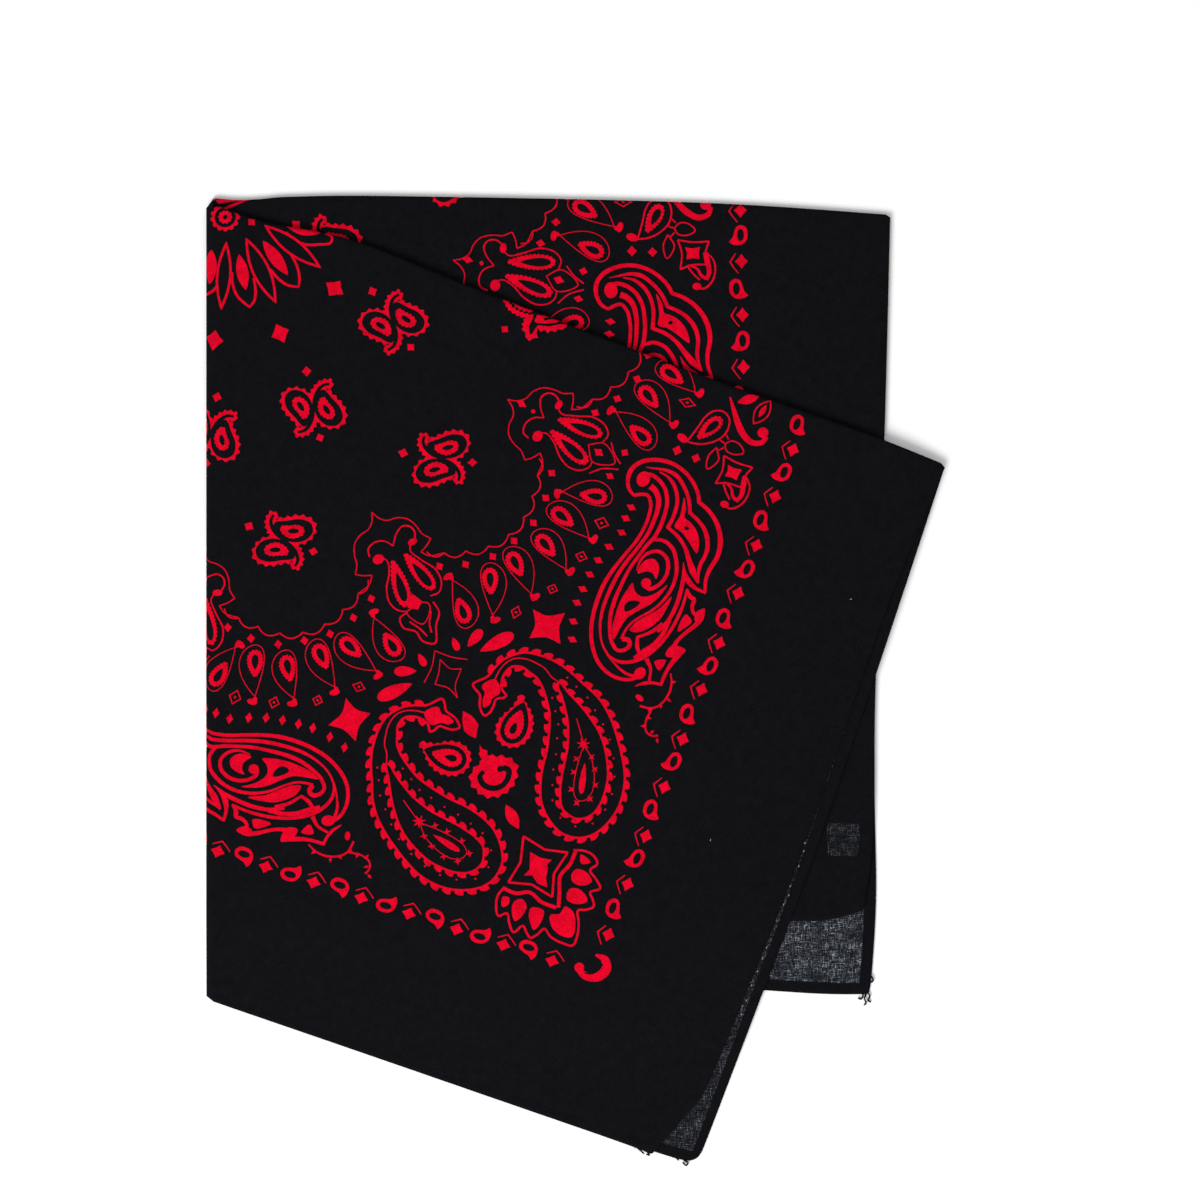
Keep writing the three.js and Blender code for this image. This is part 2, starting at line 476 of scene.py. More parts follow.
def spiked(outline: np.ndarray, pitch: float, height: float) -> np.ndarray:
    """The outline with pointed teeth that stand out.

    Args:
        outline: closed loop.
        pitch: length of a tooth.
        height: how far it stands out.

    Returns:
        Complex points.
    """
    length = np.sum(np.abs(np.diff(np.append(outline, outline[0]))))
    count = max(int(round(length / pitch)), 3)
    ring = even(turned_right(outline), length / (4 * count), True)
    rise = np.resize([0.0, 0.45, 1.0, 0.45], len(ring))
    return ring + height * rise * outward(ring)


def stroke(path: np.ndarray, widths: Sequence[float]) -> np.ndarray:
    """A band along an open path.

    Args:
        path: complex points.
        widths: widths that the band runs through evenly.

    Returns:
        The band's outline.
    """
    line = path
    along = np.gradient(line)
    normal = along / np.maximum(np.abs(along), 1e-9) * 1j
    reach = np.concatenate([[0.0], np.cumsum(np.abs(np.diff(line)))])
    half = np.interp(reach / reach[-1], np.linspace(0.0, 1.0, len(widths)), widths) / 2.0
    half = np.maximum(half, THINNEST)
    return turned_right(np.concatenate([line + half * normal, (line - half * normal)[::-1]]))


def ellipse(
    centre: complex, across: float, down: float, degrees: float = 0.0, count: int = 14,
) -> np.ndarray:
    """An ellipse.

    Args:
        centre: its middle.
        across: first half axis.
        down: second half axis.
        degrees: turn of the axes.
        count: number of points.

    Returns:
        Complex points.
    """
    t = np.arange(count) * 2 * np.pi / count
    return centre + (across * np.cos(t) + 1j * down * np.sin(t)) * polar(1.0, degrees)


def diamond(
    centre: complex, along: float, across: float, degrees: float = 0.0, hollow: float = 0.94,
) -> np.ndarray:
    """A diamond whose sides are drawn in a little.

    Args:
        centre: its middle.
        along: first half diagonal.
        across: second half diagonal.
        degrees: turn of the diagonals.
        hollow: share that the middle of a side keeps.

    Returns:
        Complex points.
    """
    tips = np.array([along, 1j * across, -along, -1j * across])
    middles = (tips + np.roll(tips, -1)) / 2 * hollow
    return centre + np.stack([tips, middles], axis=1).ravel() * polar(1.0, degrees)


def drop(
    tip: complex, end: complex, width: float, hook: float = 0.0, sharp: float = 0.75, count: int = 40,
) -> np.ndarray:
    """A teardrop: its half-width is sin t times sin(t/2) to a power.

    Args:
        tip: pointed end.
        end: round end.
        width: greatest width.
        hook: how far it bows sideways.
        sharp: the power.
        count: number of points.

    Returns:
        Complex points.
    """
    t = np.arange(count) * 2 * np.pi / count
    share = (1 - np.cos(t)) / 2
    side = np.sin(t) * np.abs(np.sin(t / 2)) ** sharp
    side = side / side.max() * width / 2
    reach = end - tip
    bow = hook * 4 * share * (1 - share)
    return turned_right(tip + (share * abs(reach) + 1j * (side + bow)) * reach / abs(reach))


def lens(
    tip: complex, end: complex, width: float, fullness: float = 0.9, hook: float = 0.0, count: int = 32,
) -> np.ndarray:
    """A leaf with two tips: its half-width follows sin(pi s) to a power.

    Args:
        tip: first tip.
        end: second tip.
        width: greatest width.
        fullness: the power.
        hook: how far it bows sideways.
        count: number of points.

    Returns:
        Complex points.
    """
    s = np.concatenate([np.linspace(0, 1, count // 2 + 1)[:-1], np.linspace(1, 0, count // 2 + 1)[:-1]])
    sign = np.concatenate([np.ones(count // 2), -np.ones(count // 2)])
    reach = end - tip
    side = sign * np.sin(np.pi * s) ** fullness * width / 2 + hook * 4 * s * (1 - s)
    return turned_right(tip + (s * abs(reach) + 1j * side) * reach / abs(reach))


def burst(centre: complex, points: int, outer: float, inner: float, degrees: float = 0.0) -> np.ndarray:
    """A star with straight rays.

    Args:
        centre: its middle.
        points: number of rays.
        outer: radius of the tips.
        inner: radius between them.
        degrees: turn of the first ray.

    Returns:
        Complex points.
    """
    t = np.arange(2 * points) * np.pi / points + math.radians(degrees)
    radius = np.where(np.arange(2 * points) % 2 == 0, outer, inner)
    return centre + radius * np.exp(1j * t)


@dataclass
class Drawing:
    """Shapes in the order that they are laid down, each a closed outline and its ink."""

    shapes: list = field(default_factory=list)

    def fill(self, outline: np.ndarray, ink: Ink = Ink.RED) -> "Drawing":
        """Lay down a filled shape.

        Args:
            outline: closed loop.
            ink: what it is filled with.

        Returns:
            The drawing.
        """
        self.shapes.append((turned_right(np.asarray(outline)), ink))
        return self

    def line(self, points, *widths: float, ink: Ink = Ink.RED) -> "Drawing":
        """Lay down a band.

        Args:
            points: knots, or a ready path.
            widths: widths that the band runs through.
            ink: what it is filled with.

        Returns:
            The drawing.
        """
        path = even(smooth(points) if isinstance(points, (list, tuple)) else points, LINE_STEP, False)
        return self.fill(stroke(path, widths), ink)

    def ringed(self, outline: np.ndarray, width: float) -> "Drawing":
        """Lay down an outline with an open middle.

        Args:
            outline: closed loop.
            width: width of the line.

        Returns:
            The drawing.
        """
        ring = even(turned_right(outline), RING_STEP, True)
        self.fill(ring)
        return self.fill(inset(ring, width), Ink.BLACK)

    def blocks(
        self, path: np.ndarray, pitch: float, share: float, height: float, form: Tooth = Tooth.ROUND,
    ) -> "Drawing":
        """Lay down separate teeth on the left of a path.

        Args:
            path: complex points.
            pitch: from one tooth to the next.
            share: share of the pitch that a tooth covers.
            height: height of a tooth.
            form: its form.

        Returns:
            The drawing.
        """
        reach = np.concatenate([[0.0], np.cumsum(np.abs(np.diff(path)))])
        normal = np.gradient(path)
        normal = normal / np.abs(normal) * -1j
        rise = {Tooth.ROUND: (0.8, 1.0, 1.0, 1.0, 0.8), Tooth.SHINGLE: (0.4, 0.75, 0.95, 1.0, 0.9)}[form]
        count = max(int(round(reach[-1] / pitch)), 1)
        step = reach[-1] / count
        for k in range(count):
            marks = (k + 0.5 + share * np.linspace(-0.5, 0.5, 5)) * step
            base = np.interp(marks, reach, path.real) + 1j * np.interp(marks, reach, path.imag)
            up = np.interp(marks, reach, normal.real) + 1j * np.interp(marks, reach, normal.imag)
            top = base + height * np.array(rise) * up
            self.fill(np.concatenate([base - 0.1 * up, top[::-1]]))
        return self

    def add(
        self, other: "Drawing", turn: float = 0.0, at: complex = 0.0, mirrored: bool = False,
    ) -> "Drawing":
        """Lay another drawing down.

        Args:
            other: the other drawing.
            turn: degrees that it is turned by.
            at: where its origin goes.
            mirrored: whether it is first mirrored in the diagonal.

        Returns:
            The drawing.
        """
        for outline, ink in other.shapes:
            base = 1j * np.conj(outline) if mirrored else outline
            self.fill(base * polar(1.0, turn) + at, ink)
        return self


# The ring of palmettes repeats at this angle, and it is drawn a little past the folds
STEP = 30.0
REPEATS = range(-1, 13)
PALMETTE_RADIUS = 123.8
PALMETTE_LINE = 0.42
SCALLOP_LINE = 0.47
SCALLOP_BOW = 0.26


def rosette() -> Drawing:
    """The toothed rosette in the middle of the cloth and the small diamond beside it.

    Returns:
        The shapes.
    """
    made = Drawing()
    centre = -2.1 + 0.3j
    made.fill(toothed(ellipse(centre, 4.5, 4.5, count=40), 2 * math.pi * 4.5 / 13, 0.95))
    made.fill(ellipse(centre, 3.9, 3.9, count=24), Ink.BLACK)
    made.fill(toothed(ellipse(centre, 2.05, 2.05, count=30), 2 * math.pi * 2.05 / 10, 0.5))
    made.fill(ellipse(centre, 0.85, 1.0), Ink.BLACK)
    return made.fill(diamond(polar(7.75, -7), 1.75, 1.6, 27))


SOLID_PETALS = (
    ((-2.4, 13.4), (1.3, 26.3), 4.6), ((7.6, 11.9), (14.7, 23.7), 4.3), ((14.1, 4.4), (27.3, 13.6), 4.5),
    ((20.0, -3.8), (33.0, -5.0), 4.6),
)
OPEN_PETALS = (
    ((12.3, -1.4), (37.9, 7.4), 6.2), ((7.7, 5.2), (27.0, 25.0), 6.7), ((1.5, 8.7), (8.8, 33.6), 5.7),
)
PETAL_ARMS = (
    ((-2.6, 33.2), (0.2, 32.2), (2.4, 29.6), (4.0, 26.0), (4.8, 22.5)),
    ((7.6, 19.0), (9.2, 22.8), (12.6, 26.8), (18.2, 29.3)),
    ((18.2, 29.3), (19.0, 26.6), (18.2, 23.0), (15.8, 18.6)),
    ((20.5, 13.6), (24.2, 15.9), (28.4, 17.2), (32.6, 16.6)),
    ((32.6, 16.6), (31.6, 13.2), (29.4, 9.6), (25.6, 6.0)),
    ((21.0, -1.2), (25.0, 0.5), (29.0, 0.9), (33.5, -0.5), (38.0, -3.2), (37.4, -4.9), (34.6, -5.4)),
)
BIG_DIAMONDS = ((45.2, 13.0), (32.3, 35.0), (10.3, 45.0))


def petals() -> Drawing:
    """The leaves round the rosette and the large diamonds beyond them.

    Returns:
        The shapes.
    """
    made = Drawing()
    for arm in PETAL_ARMS:
        made.line(arm, 0.8, 0.95, 0.8)
    for tip, end, width in SOLID_PETALS:
        made.fill(lens(complex(*tip), complex(*end), width, 0.8))
    for tip, end, width in OPEN_PETALS:
        made.ringed(lens(complex(*tip), complex(*end), width, 0.85), 0.85)
    for p, q in BIG_DIAMONDS:
        made.fill(diamond(complex(p, q), 3.9, 3.4, math.degrees(math.atan2(q, p)), 0.92))
    return made


FOLD_SPRIG_SPIKE = (
    (116.5, 0.9), (114.5, 1.9), (115.3, 3.0), (114.4, 3.8), (115.6, 4.6), (115.2, 5.8), (117.0, 6.4),
    (117.6, 8.0), (119.5, 9.0), (120.2, 7.6), (122.0, 6.8), (121.0, 5.7), (120.4, 3.3), (122.2, 4.4),
    (123.0, 3.2), (124.8, 4.0), (125.4, 2.6), (127.2, 2.8), (127.6, 1.4), (129.2, 1.2), (130.4, -0.4),
    (130.1, -1.7), (127.7, -0.5), (124.5, 1.5), (120.4, 2.4), (119.8, 4.2), (119.3, 6.6), (118.6, 6.4),
    (117.3, 3.8), (117.6, 1.4),
)
FOLD_SPRIG_HEART = (
    (118.6, 1.2), (118.7, -1.1), (121.0, -3.0), (123.4, -3.0), (121.3, -0.6), (122.0, 0.1), (124.1, -1.3),
    (126.3, -2.8), (127.6, -2.3), (125.8, -0.4), (121.9, 1.2), (119.2, 1.7),
)


def fold_sprig() -> Drawing:
    """What shows of the sprig that the front's top fold cuts off.

    Returns:
        The shapes.
    """
    made = Drawing()
    for path, width in (
        (((104.6, -4.0), (106.2, -2.4), (108.2, -0.6), (111.0, 0.3), (114.0, 0.6), (117.4, 0.2)), 1.1),
        (((108.6, -3.6), (110.2, -2.2), (113.0, -1.7), (116.4, -2.0)), 0.7),
    ):
        made.fill(spiked(stroke(even(smooth(path), LINE_STEP, False), [width]), 1.8, 0.6))
    made.fill(knots_of(FOLD_SPRIG_SPIKE))
    made.fill(knots_of(FOLD_SPRIG_HEART))
    return made.fill(diamond(109.4 + 7.7j, 1.7, 1.5, 20))


TIP_WEDGE = ((33.6, 7.4), (39.9, 8.0), (43.6, 8.5), (37.8, 9.3), (34.8, 9.9), (33.9, 8.9))
TIP_STROKE = ((35.9, 12.1), (37.6, 11.4), (40.6, 10.2), (43.6, 8.9), (46.6, 7.8))


def tip_strokes() -> Drawing:
    """The two leaf ends that show above the front's tip.

    Returns:
        The shapes.
    """
    made = Drawing().line(TIP_STROKE, 0.7, 1.0, 1.0, 0.5)
    return made.fill(knots_of(TIP_WEDGE))


SPRIG_BODY = (
    (-1, -8), (3, -7.9), (8, -7.2), (11.1, -5), (12.0, -2.7), (10.8, 0.3), (8.3, 2.1), (5, 2.6), (2, 1.8),
    (-0.5, -0.5), (-2.5, -4), (-3, -7),
)
SPRIG_BLACK = (
    (-1.7, -6.8), (3, -6.6), (7.4, -5.9), (10.2, -3.6), (10.2, -0.8), (8.2, 1.1), (5, 1.6), (1.9, 0.6),
    (-0.6, -1.6), (-1.9, -4),
)
SPRIG_HEART = (
    (-0.8, -5.3), (3, -5.0), (6.6, -4.2), (8.2, -2.5), (7.6, -0.6), (5, 0.3), (2.5, 0.0), (0.4, -1.7),
    (-0.9, -4),
)
SPRIG_CORE = 4.0 - 2.6j
SPRIG_STEM = (
    (-1.2, -11.0), (-3.1, -8.6), (-3.1, -5.5), (-1.5, -2), (0, 0), (1.5, 2), (3.1, 5.5), (3.1, 8.6),
    (1.2, 11.0),
)
FRONT_SPRIGS = (
    (70, 18.2, 0), (53.7, 57.5, 22), (21.5, 78.5, 42), (104.5, 60.6, -47), (61, 107.5, -33), (0, 122, -20),
)
BACK_SPRIGS = ((74.1, 26.5, 0), (118.6, -0.3, -60), (104.5, 60.6, -47), (53.7, 57.5, 22), (61, 107.5, -33))


def sprig() -> Drawing:
    """A sprig: two toothed lobes on an S-shaped stem, with two diamonds.

    Returns:
        The shapes, round their middle.
    """
    made = Drawing()
    stem = even(smooth(SPRIG_STEM), LINE_STEP, False)
    made.fill(spiked(stroke(stem, [2.6, 3.6, 3.8, 3.6, 3.8, 3.6, 2.6]), 2.0, 0.8))
    for sign in (1, -1):
        body = sign * smooth(SPRIG_BODY, closed=True)
        made.fill(spiked(body, 2.7, 0.95))
    hollow = SPRIG_CORE + 1.1 * (smooth(SPRIG_BLACK, closed=True) - SPRIG_CORE)
    for sign in (1, -1):
        made.fill(sign * hollow, Ink.BLACK)
    made.fill(stroke(stem[1:-1], [1.0, 1.4, 1.5, 1.1, 1.5, 1.4, 1.0]), Ink.BLACK)
    for sign in (1, -1):
        heart = SPRIG_CORE + 0.86 * (smooth(SPRIG_HEART, closed=True) - SPRIG_CORE)
        made.fill(toothed(sign * heart, 1.5, 0.4))
        made.fill(ellipse(sign * SPRIG_CORE, 2.1, 0.95, 15), Ink.BLACK)
    made.fill(diamond(-11.3 - 8.5j, 1.95, 1.8, 45))
    made.fill(diamond(9.3 + 6.7j, 1.75, 1.6, 25))
    return made


def sprigs(places: Sequence[tuple[float, float, float]]) -> Drawing:
    """The sprigs on the plain field.

    Args:
        places: place and turn of each.

    Returns:
        The shapes.
    """
    made = Drawing()
    unit = sprig()
    for p, q, turn in places:
        made.add(unit, turn, complex(p, q))
    return made


CUSPS = ((0.0, 159.0), (3.0, 157.8), (5.8, 154.3), (8.4, 150.5), (10.4, 146.8))
SMALL_DIAMONDS = ((0.0, 162.2), (3.39, 161.9), (6.86, 158.5), (9.92, 153.9))
PALMETTE_HALF = (
    (0, 0), (3.2, 1.4), (5.3, 3.8), (5.9, 7.2), (7.9, 10.4), (12, 12.4), (15.4, 13), (18.5, 15.1),
    (20.2, 12.9), (21.6, 9.8), (24.1, 11.8), (25.6, 17.1),
)


def scallops() -> Drawing:
    """The scalloped ring and the small diamonds outside it.

    Returns:
        The shapes.
    """
    made = Drawing()
    for k in REPEATS:
        turn = STEP * k
        before = [polar(r, turn - a) for a, r in reversed(CUSPS[1:])]
        spots = before + [polar(r, turn + a) for a, r in CUSPS]
        for a, b in zip(spots[:-1], spots[1:]):
            reach = b - a
            s = np.linspace(0, 1, 9)
            bow = 1j * reach * SCALLOP_BOW * 4 * s * (1 - s)
            made.fill(stroke(a + reach * s - bow, [SCALLOP_LINE] * 2))
        for a, r in SMALL_DIAMONDS:
            for sign in ((1, -1) if a else (1,)):
                made.fill(diamond(polar(r, turn + sign * a), 1.75, 1.5, turn + sign * a))
    return made


def toothed_drop(
    made: Drawing, tip: complex, end: complex, width: float, teeth: int, height: float, core: tuple,
) -> None:
    """Lay down a toothed teardrop with an open core.

    Args:
        made: the drawing.
        tip: pointed end.
        end: round end.
        width: greatest width.
        teeth: number of teeth.
        height: their height.
        core: tip, end and width of the core.
    """
    body = drop(tip, end, width)
    length = np.sum(np.abs(np.diff(np.append(body, body[0]))))
    made.fill(toothed(body, length / teeth, height))
    a, b, core_width = core
    made.fill(drop(a, b, core_width), Ink.BLACK)


def palmette_edges(made: Drawing, turn: float) -> None:
    """Lay down the curved edge round a palmette.

    Args:
        made: the drawing.
        turn: angle of its axis in degrees.
    """
    half = knots_of(PALMETTE_HALF)
    for flip in (False, True):
        side = np.conj(half) if flip else half
        runs = [side[0:8], side[7:10], side[9:12]]
        for run in runs:
            path = smooth([(z.real, z.imag) for z in run])
            placed = (path + PALMETTE_RADIUS) * polar(1.0, turn)
            made.fill(stroke(even(placed, LINE_STEP, False), [PALMETTE_LINE, PALMETTE_LINE]))


def side_palmette() -> Drawing:
    """The palmette at 15 degrees from the fold.

    Returns:
        The shapes.
    """
    made = Drawing()
    made.line([(134.5, 34.3), (131.5, 30), (131, 27), (133, 25), (135.5, 25), (137.5, 26.5)], 0.48, 0.6)
    made.fill(ellipse(138 + 28j, 1.2, 1.8, 10))
    made.line(
        [(138.5, 29.5), (139.5, 30.5), (145, 30), (152, 28.3), (157, 30), (159, 33), (158, 36)], 0.48,
        0.56, 0.48,
    )
    made.line([(134.5, 34.3), (131, 35.5), (129, 38.5), (129.5, 42), (132, 43.3)], 0.48, 0.6)
    made.fill(ellipse(134.8 + 41.5j, 1.8, 2.1, 10))
    made.line(
        [
            (135.5, 40), (137, 39.5), (141, 41.5), (145, 46), (150, 48.8), (154, 48.5), (156.8, 46),
            (157, 44),
        ],
        0.48, 0.56, 0.48,
    )
    toothed_drop(made, 139.6 + 33j, 156.6 + 33.5j, 4.9, 24, 0.5, (144 + 33.2j, 155.3 + 33.5j, 3.2))
    toothed_drop(made, 138.6 + 38j, 155.2 + 45j, 5.1, 24, 0.5, (143 + 39.7j, 153.5 + 44.3j, 3.2))
    made.fill(diamond(125 + 32j, 2.1, 1.3, 15))
    made.fill(ellipse(130 + 33.3j, 0.75, 0.75))
    made.line([(153.5, 38.5), (158.5, 36.2), (165, 42), (157, 44), (153.5, 38.5)], 0.44, 0.44)
    made.fill(diamond(158 + 40j, 2.1, 1.5, 20))
    made.line([(161, 35), (163.5, 38.5), (167, 41.5)], 0.44, 0.52)
    made.line([(157.5, 48.5), (161, 45.5), (167, 43.7)], 0.44, 0.52)
    made.fill(diamond(167 + 37j, 1.6, 1.5, 15))
    made.fill(diamond(165 + 47j, 1.8, 1.3, 15))
    return made


def corner_palmette() -> Drawing:
    """The palmette on the diagonal: the heads of the side one, turned, with its own tail.

    Returns:
        The shapes.
    """
    made = Drawing()
    for outline, ink in side_palmette().shapes[:10]:
        made.fill(outline * polar(1.0, STEP), ink)
    made.fill(
        cornered(
            [(112, 111.5), (116.5, 113)], [(116.5, 113), (116.3, 116.5)], [(116.3, 116.5), (112.5, 117)],
            [(112.5, 117), (112, 111.5)],
        )
    )
    made.line([(116.8, 113.3), (119, 113), (120, 121), (112.8, 118.8), (116.8, 113.3)], 0.42, 0.42)
    leaf = [
        (120.5, 112), (124, 115), (124.5, 119.5), (126.5, 126.5), (122, 127), (118.5, 124.5),
        (113.5, 124.5), (111.2, 121.5), (112.7, 119),
    ]
    made.line(leaf, 0.55, 0.65, 0.55)
    made.line([(121, 115.5), (122.3, 120.5), (124, 123)], 0.5, 0.6)
    made.line([(123, 124.8), (119.5, 123), (115, 121.8)], 0.5, 0.6)
    return made


def palmettes() -> Drawing:
    """All palmettes with their edges.

    Returns:
        The shapes.
    """
    made = Drawing()
    unit = side_palmette()
    for k in REPEATS:
        palmette_edges(made, STEP / 2 + STEP * k)
        if k % 3 == 1:
            made.add(corner_palmette(), STEP * (k - 1))
        else:
            made.add(unit, STEP * k)
    return made


RING_DROPS = (
    ((173, 4), (185, 8)), ((168, 14.5), (180, 22)), ((170, 29), (157, 23)), ((162, 56), (149, 58.5)),
    ((154, 67), (167.5, 72)), ((152, 79), (163.5, 86)), ((144, 89), (154.5, 99)),
    ((137.5, 98), (143.5, 111.5)), ((131.8, 111.7), (123.2, 100.8)),
)


def ring_drop(body: complex, tail: complex) -> Drawing:
    """A teardrop in a thin ring that ends in a curled tail.

    Args:
        body: middle of the inner drop.
        tail: end of the tail.

    Returns:
        The shapes.
    """
    made = Drawing()
    reach = tail - body
    unit = reach / abs(reach)
    end = body - unit * 7.0
    hook = 1.4 if abs(tail) > abs(body) else -1.4
    made.ringed(drop(tail - unit * 1.5, end, 9.4, hook, 1.0), 0.31)
    slant = math.degrees(np.angle(unit))
    made.fill(ellipse(tail + unit * (0.1 - 1j), 1.1, 1.9, slant - 15, 14))
    made.fill(ellipse(tail - unit * 0.6, 1.2, 0.8, slant, 12))
    heart = drop(body + unit * 5.0, body - unit * 4.6, 5.2)
    length = np.sum(np.abs(np.diff(np.append(heart, heart[0]))))
    made.fill(toothed(heart, length / 18, 0.45))
    made.fill(drop(body + unit * 2.6, body - unit * 3.2, 2.6), Ink.BLACK)
    return made


def ring_drops() -> Drawing:
    """The ringed drops, the diamonds and the star between palmettes and paisleys.

    Returns:
        The shapes.
    """
    made = Drawing()
    for body, tail in RING_DROPS:
        made.add(ring_drop(complex(*body), complex(*tail)))
    for p, q, w, h in (
        (182, 12, 3.5, 2), (168.3, 64.5, 3, 2.5), (165.7, 78.7, 2.5, 2.25), (160, 93.5, 2.25, 2.1),
        (150.5, 106, 2.1, 2.75),
    ):
        made.ringed(diamond(complex(p, q), w, h), 0.4)
        made.fill(ellipse(complex(p, q), 0.55, 0.45, count=8))
    for p, q in (
        (176.5, 55.5), (176, 60), (176.5, 65.5), (174, 72), (172, 78), (171, 84), (170.5, 90),
        (170.3, 95.5), (171.5, 102.5), (173.5, 109),
    ):
        made.fill(diamond(complex(p, q), 2.0, 1.3, 10))
    made.fill(diamond(184.8 + 30j, 1.8, 2.0)).fill(diamond(192.3 + 30.5j, 1.7, 1.8))
    made.fill(cornered(
        [(156, 103), (161.5, 103.6), (167.5, 100.5)], [(167.5, 100.5), (167.3, 106), (170, 112)],
        [(170, 112), (164.5, 111.3), (158.5, 113.5)], [(158.5, 113.5), (158.8, 108.5), (156, 103)],
    ))
    made.fill(drop(143.2 + 124j, 152.5 + 114j, 5))
    made.fill(drop(138.3 + 123.8j, 141 + 116.2j, 3.8))
    made.fill(drop(132 + 122.3j, 135.5 + 126.2j, 2.6))
    return made


PAISLEY_OUTER: Knots = (
    (144.8, 136.9), (149, 131.3), (150, 128), (152, 124), (155.5, 120.5), (158.5, 118.8), (163, 118),
    (168, 118), (173, 118.8), (178, 120.5), (183, 122.8), (188, 124.8), (192.5, 127.5), (196, 130.5),
    (200, 135), (204, 140.5), (207.5, 146), (210, 151), (211.5, 157), (211.8, 162), (211, 167),
    (209, 172), (206.5, 175.5), (203, 178), (199, 179), (195, 178.8), (191, 177), (187, 174),
    (184, 170.5), (181.8, 166), (179.5, 157), (179, 152), (178, 147.5), (176.8, 143), (175, 138),
    (172.5, 134), (169.5, 130), (166, 127), (163, 126), (159.5, 125), (156.5, 126), (155, 129),
    (155, 132), (156, 134.5), (158.5, 136.5), (157.5, 138), (155.5, 139), (155.4, 142), (155, 144.5),
    (153.2, 146.5), (151, 145), (149.5, 142.5), (148.6, 139.6), (146, 138),
)
PAISLEY_INNER: Knots = (
    (174, 125.5), (180, 128.2), (185, 130.8), (190, 134), (195, 138), (198.5, 142), (201.5, 147),
    (203.8, 152), (205, 158), (205, 164), (203.5, 168.5), (201, 171), (198, 172), (195, 171.5),
    (192, 170), (190, 167), (188.5, 163), (187.3, 158), (186.5, 153), (185.7, 148), (184.5, 144),
    (182.5, 139), (180, 134.8), (177, 130.5), (174, 126.5),
)
HEART_DROP: Knots = (
    (163.2, 134.4), (165.5, 137.2), (167.6, 138.8), (170, 141.8), (171.2, 146), (170.6, 150),
    (168.5, 152.8), (165.2, 154), (161.8, 153.2), (159.6, 150.8), (159, 147), (160.2, 143.2),
    (162, 140.2), (162.6, 137),
)
PAISLEY_DOTS = (
    (176.8, 123), (181.1, 125.1), (186.3, 127.6), (190.6, 131.2), (195.2, 135.2), (199.5, 139.8),
    (203.3, 146), (206, 152.3), (207.4, 158.7), (207.1, 165), (204.6, 171.4), (199, 174.4),
    (192.7, 173.1), (187.7, 167.9), (185.7, 162.6), (184, 157), (182.9, 151.3), (181.2, 145.5),
    (179.8, 140.5), (177, 136.2), (174.2, 131.9),
)


def corner_paisley() -> Drawing:
    """The large paisley beside the diagonal, with the drop in its bend.

    Returns:
        The shapes.
    """
    made = Drawing()
    outer = smooth(PAISLEY_OUTER, closed=True)
    made.ringed(outer, 0.8)
    made.blocks(even(smooth(PAISLEY_OUTER[1:44]), LINE_STEP, False), 4.6, 0.70, 1.6, Tooth.SHINGLE)
    made.line(
        [
            (152, 132), (152.5, 128), (154, 124.5), (156, 122.5), (160, 121.3), (164, 121.5),
            (168, 122.5), (171, 124.5), (174, 125.5),
        ],
        0.45,
    )
    inner = smooth(PAISLEY_INNER, closed=True)
    made.ringed(inner, 0.75)
    made.blocks(even(np.append(inner, inner[0]), LINE_STEP, False), 4.4, 0.68, 1.5, Tooth.SHINGLE)
    for p, q in PAISLEY_DOTS:
        made.fill(ellipse(complex(p, q), 0.36, 0.36, count=8))
    made.line([(185.3, 136.3), (188, 140), (191, 144.3)], 0.35)
    made.fill(burst(191 + 144.5j, 7, 2.6, 1.0, 20))
    leaf = [
        (191.3, 145), (191.5, 150), (192, 155), (193, 160), (194.5, 163.5), (196.5, 165), (199, 164),
        (200.2, 161), (199.5, 156), (197.5, 151.5), (195, 147.8), (191.3, 145),
    ]
    made.line(leaf, 0.3)
    for p, q in (
        (195.5, 148), (198.2, 152), (200.5, 157.5), (200.5, 163), (196.4, 166), (192.8, 161.8),
        (191.3, 155.5), (190.5, 150.5),
    ):
        made.fill(burst(complex(p, q), 4, 1.5, 0.5, 30))
    made.fill(drop(194 + 151j, 196.7 + 162.3j, 2.3))
    made.fill(
        smooth(
            [
                (152, 132), (155.5, 136.5), (153.7, 139), (153.3, 142), (152, 143.3), (150.5, 141),
                (150.3, 138), (148.5, 136.3),
            ],
            closed=True,
        )
    )
    made.fill(spiked(smooth(HEART_DROP, closed=True), 2.6, 0.8))
    made.fill(drop(165.0 + 136.6j, 165.0 + 153.0j, 9.8), Ink.BLACK)
    made.fill(toothed(drop(165.2 + 140.0j, 164.8 + 151.0j, 6.0), 1.5, 0.3))
    made.fill(drop(165.0 + 144.6j, 164.8 + 149.4j, 2.5), Ink.BLACK)
    return made


CURL_BODY: Knots = (
    (156.6, 158.2), (160, 160), (163, 159.2), (167, 158.6), (170, 159.6), (171.6, 163), (171.7, 167),
    (170.3, 170.3), (167.3, 173), (163.5, 174), (160, 172.6), (157.4, 171), (156.6, 168), (157.4, 165),
    (158.6, 162.6), (157.4, 160.4),
)
CURL_SLOT: Knots = (
    (166.2, 162.3), (168.6, 162.4), (169.4, 165.5), (168.2, 169), (165, 170.8), (161.5, 170.3),
    (159.5, 167.7), (160.2, 165.8),
)
MEDALLION_LINES = (
    (
        (182.4, 184), (191.5, 186.2), (199.8, 184.5), (197.8, 193.5), (200.3, 202), (191.5, 200),
        (183.2, 202), (184.8, 193.5), (182.4, 184),
    ),
)


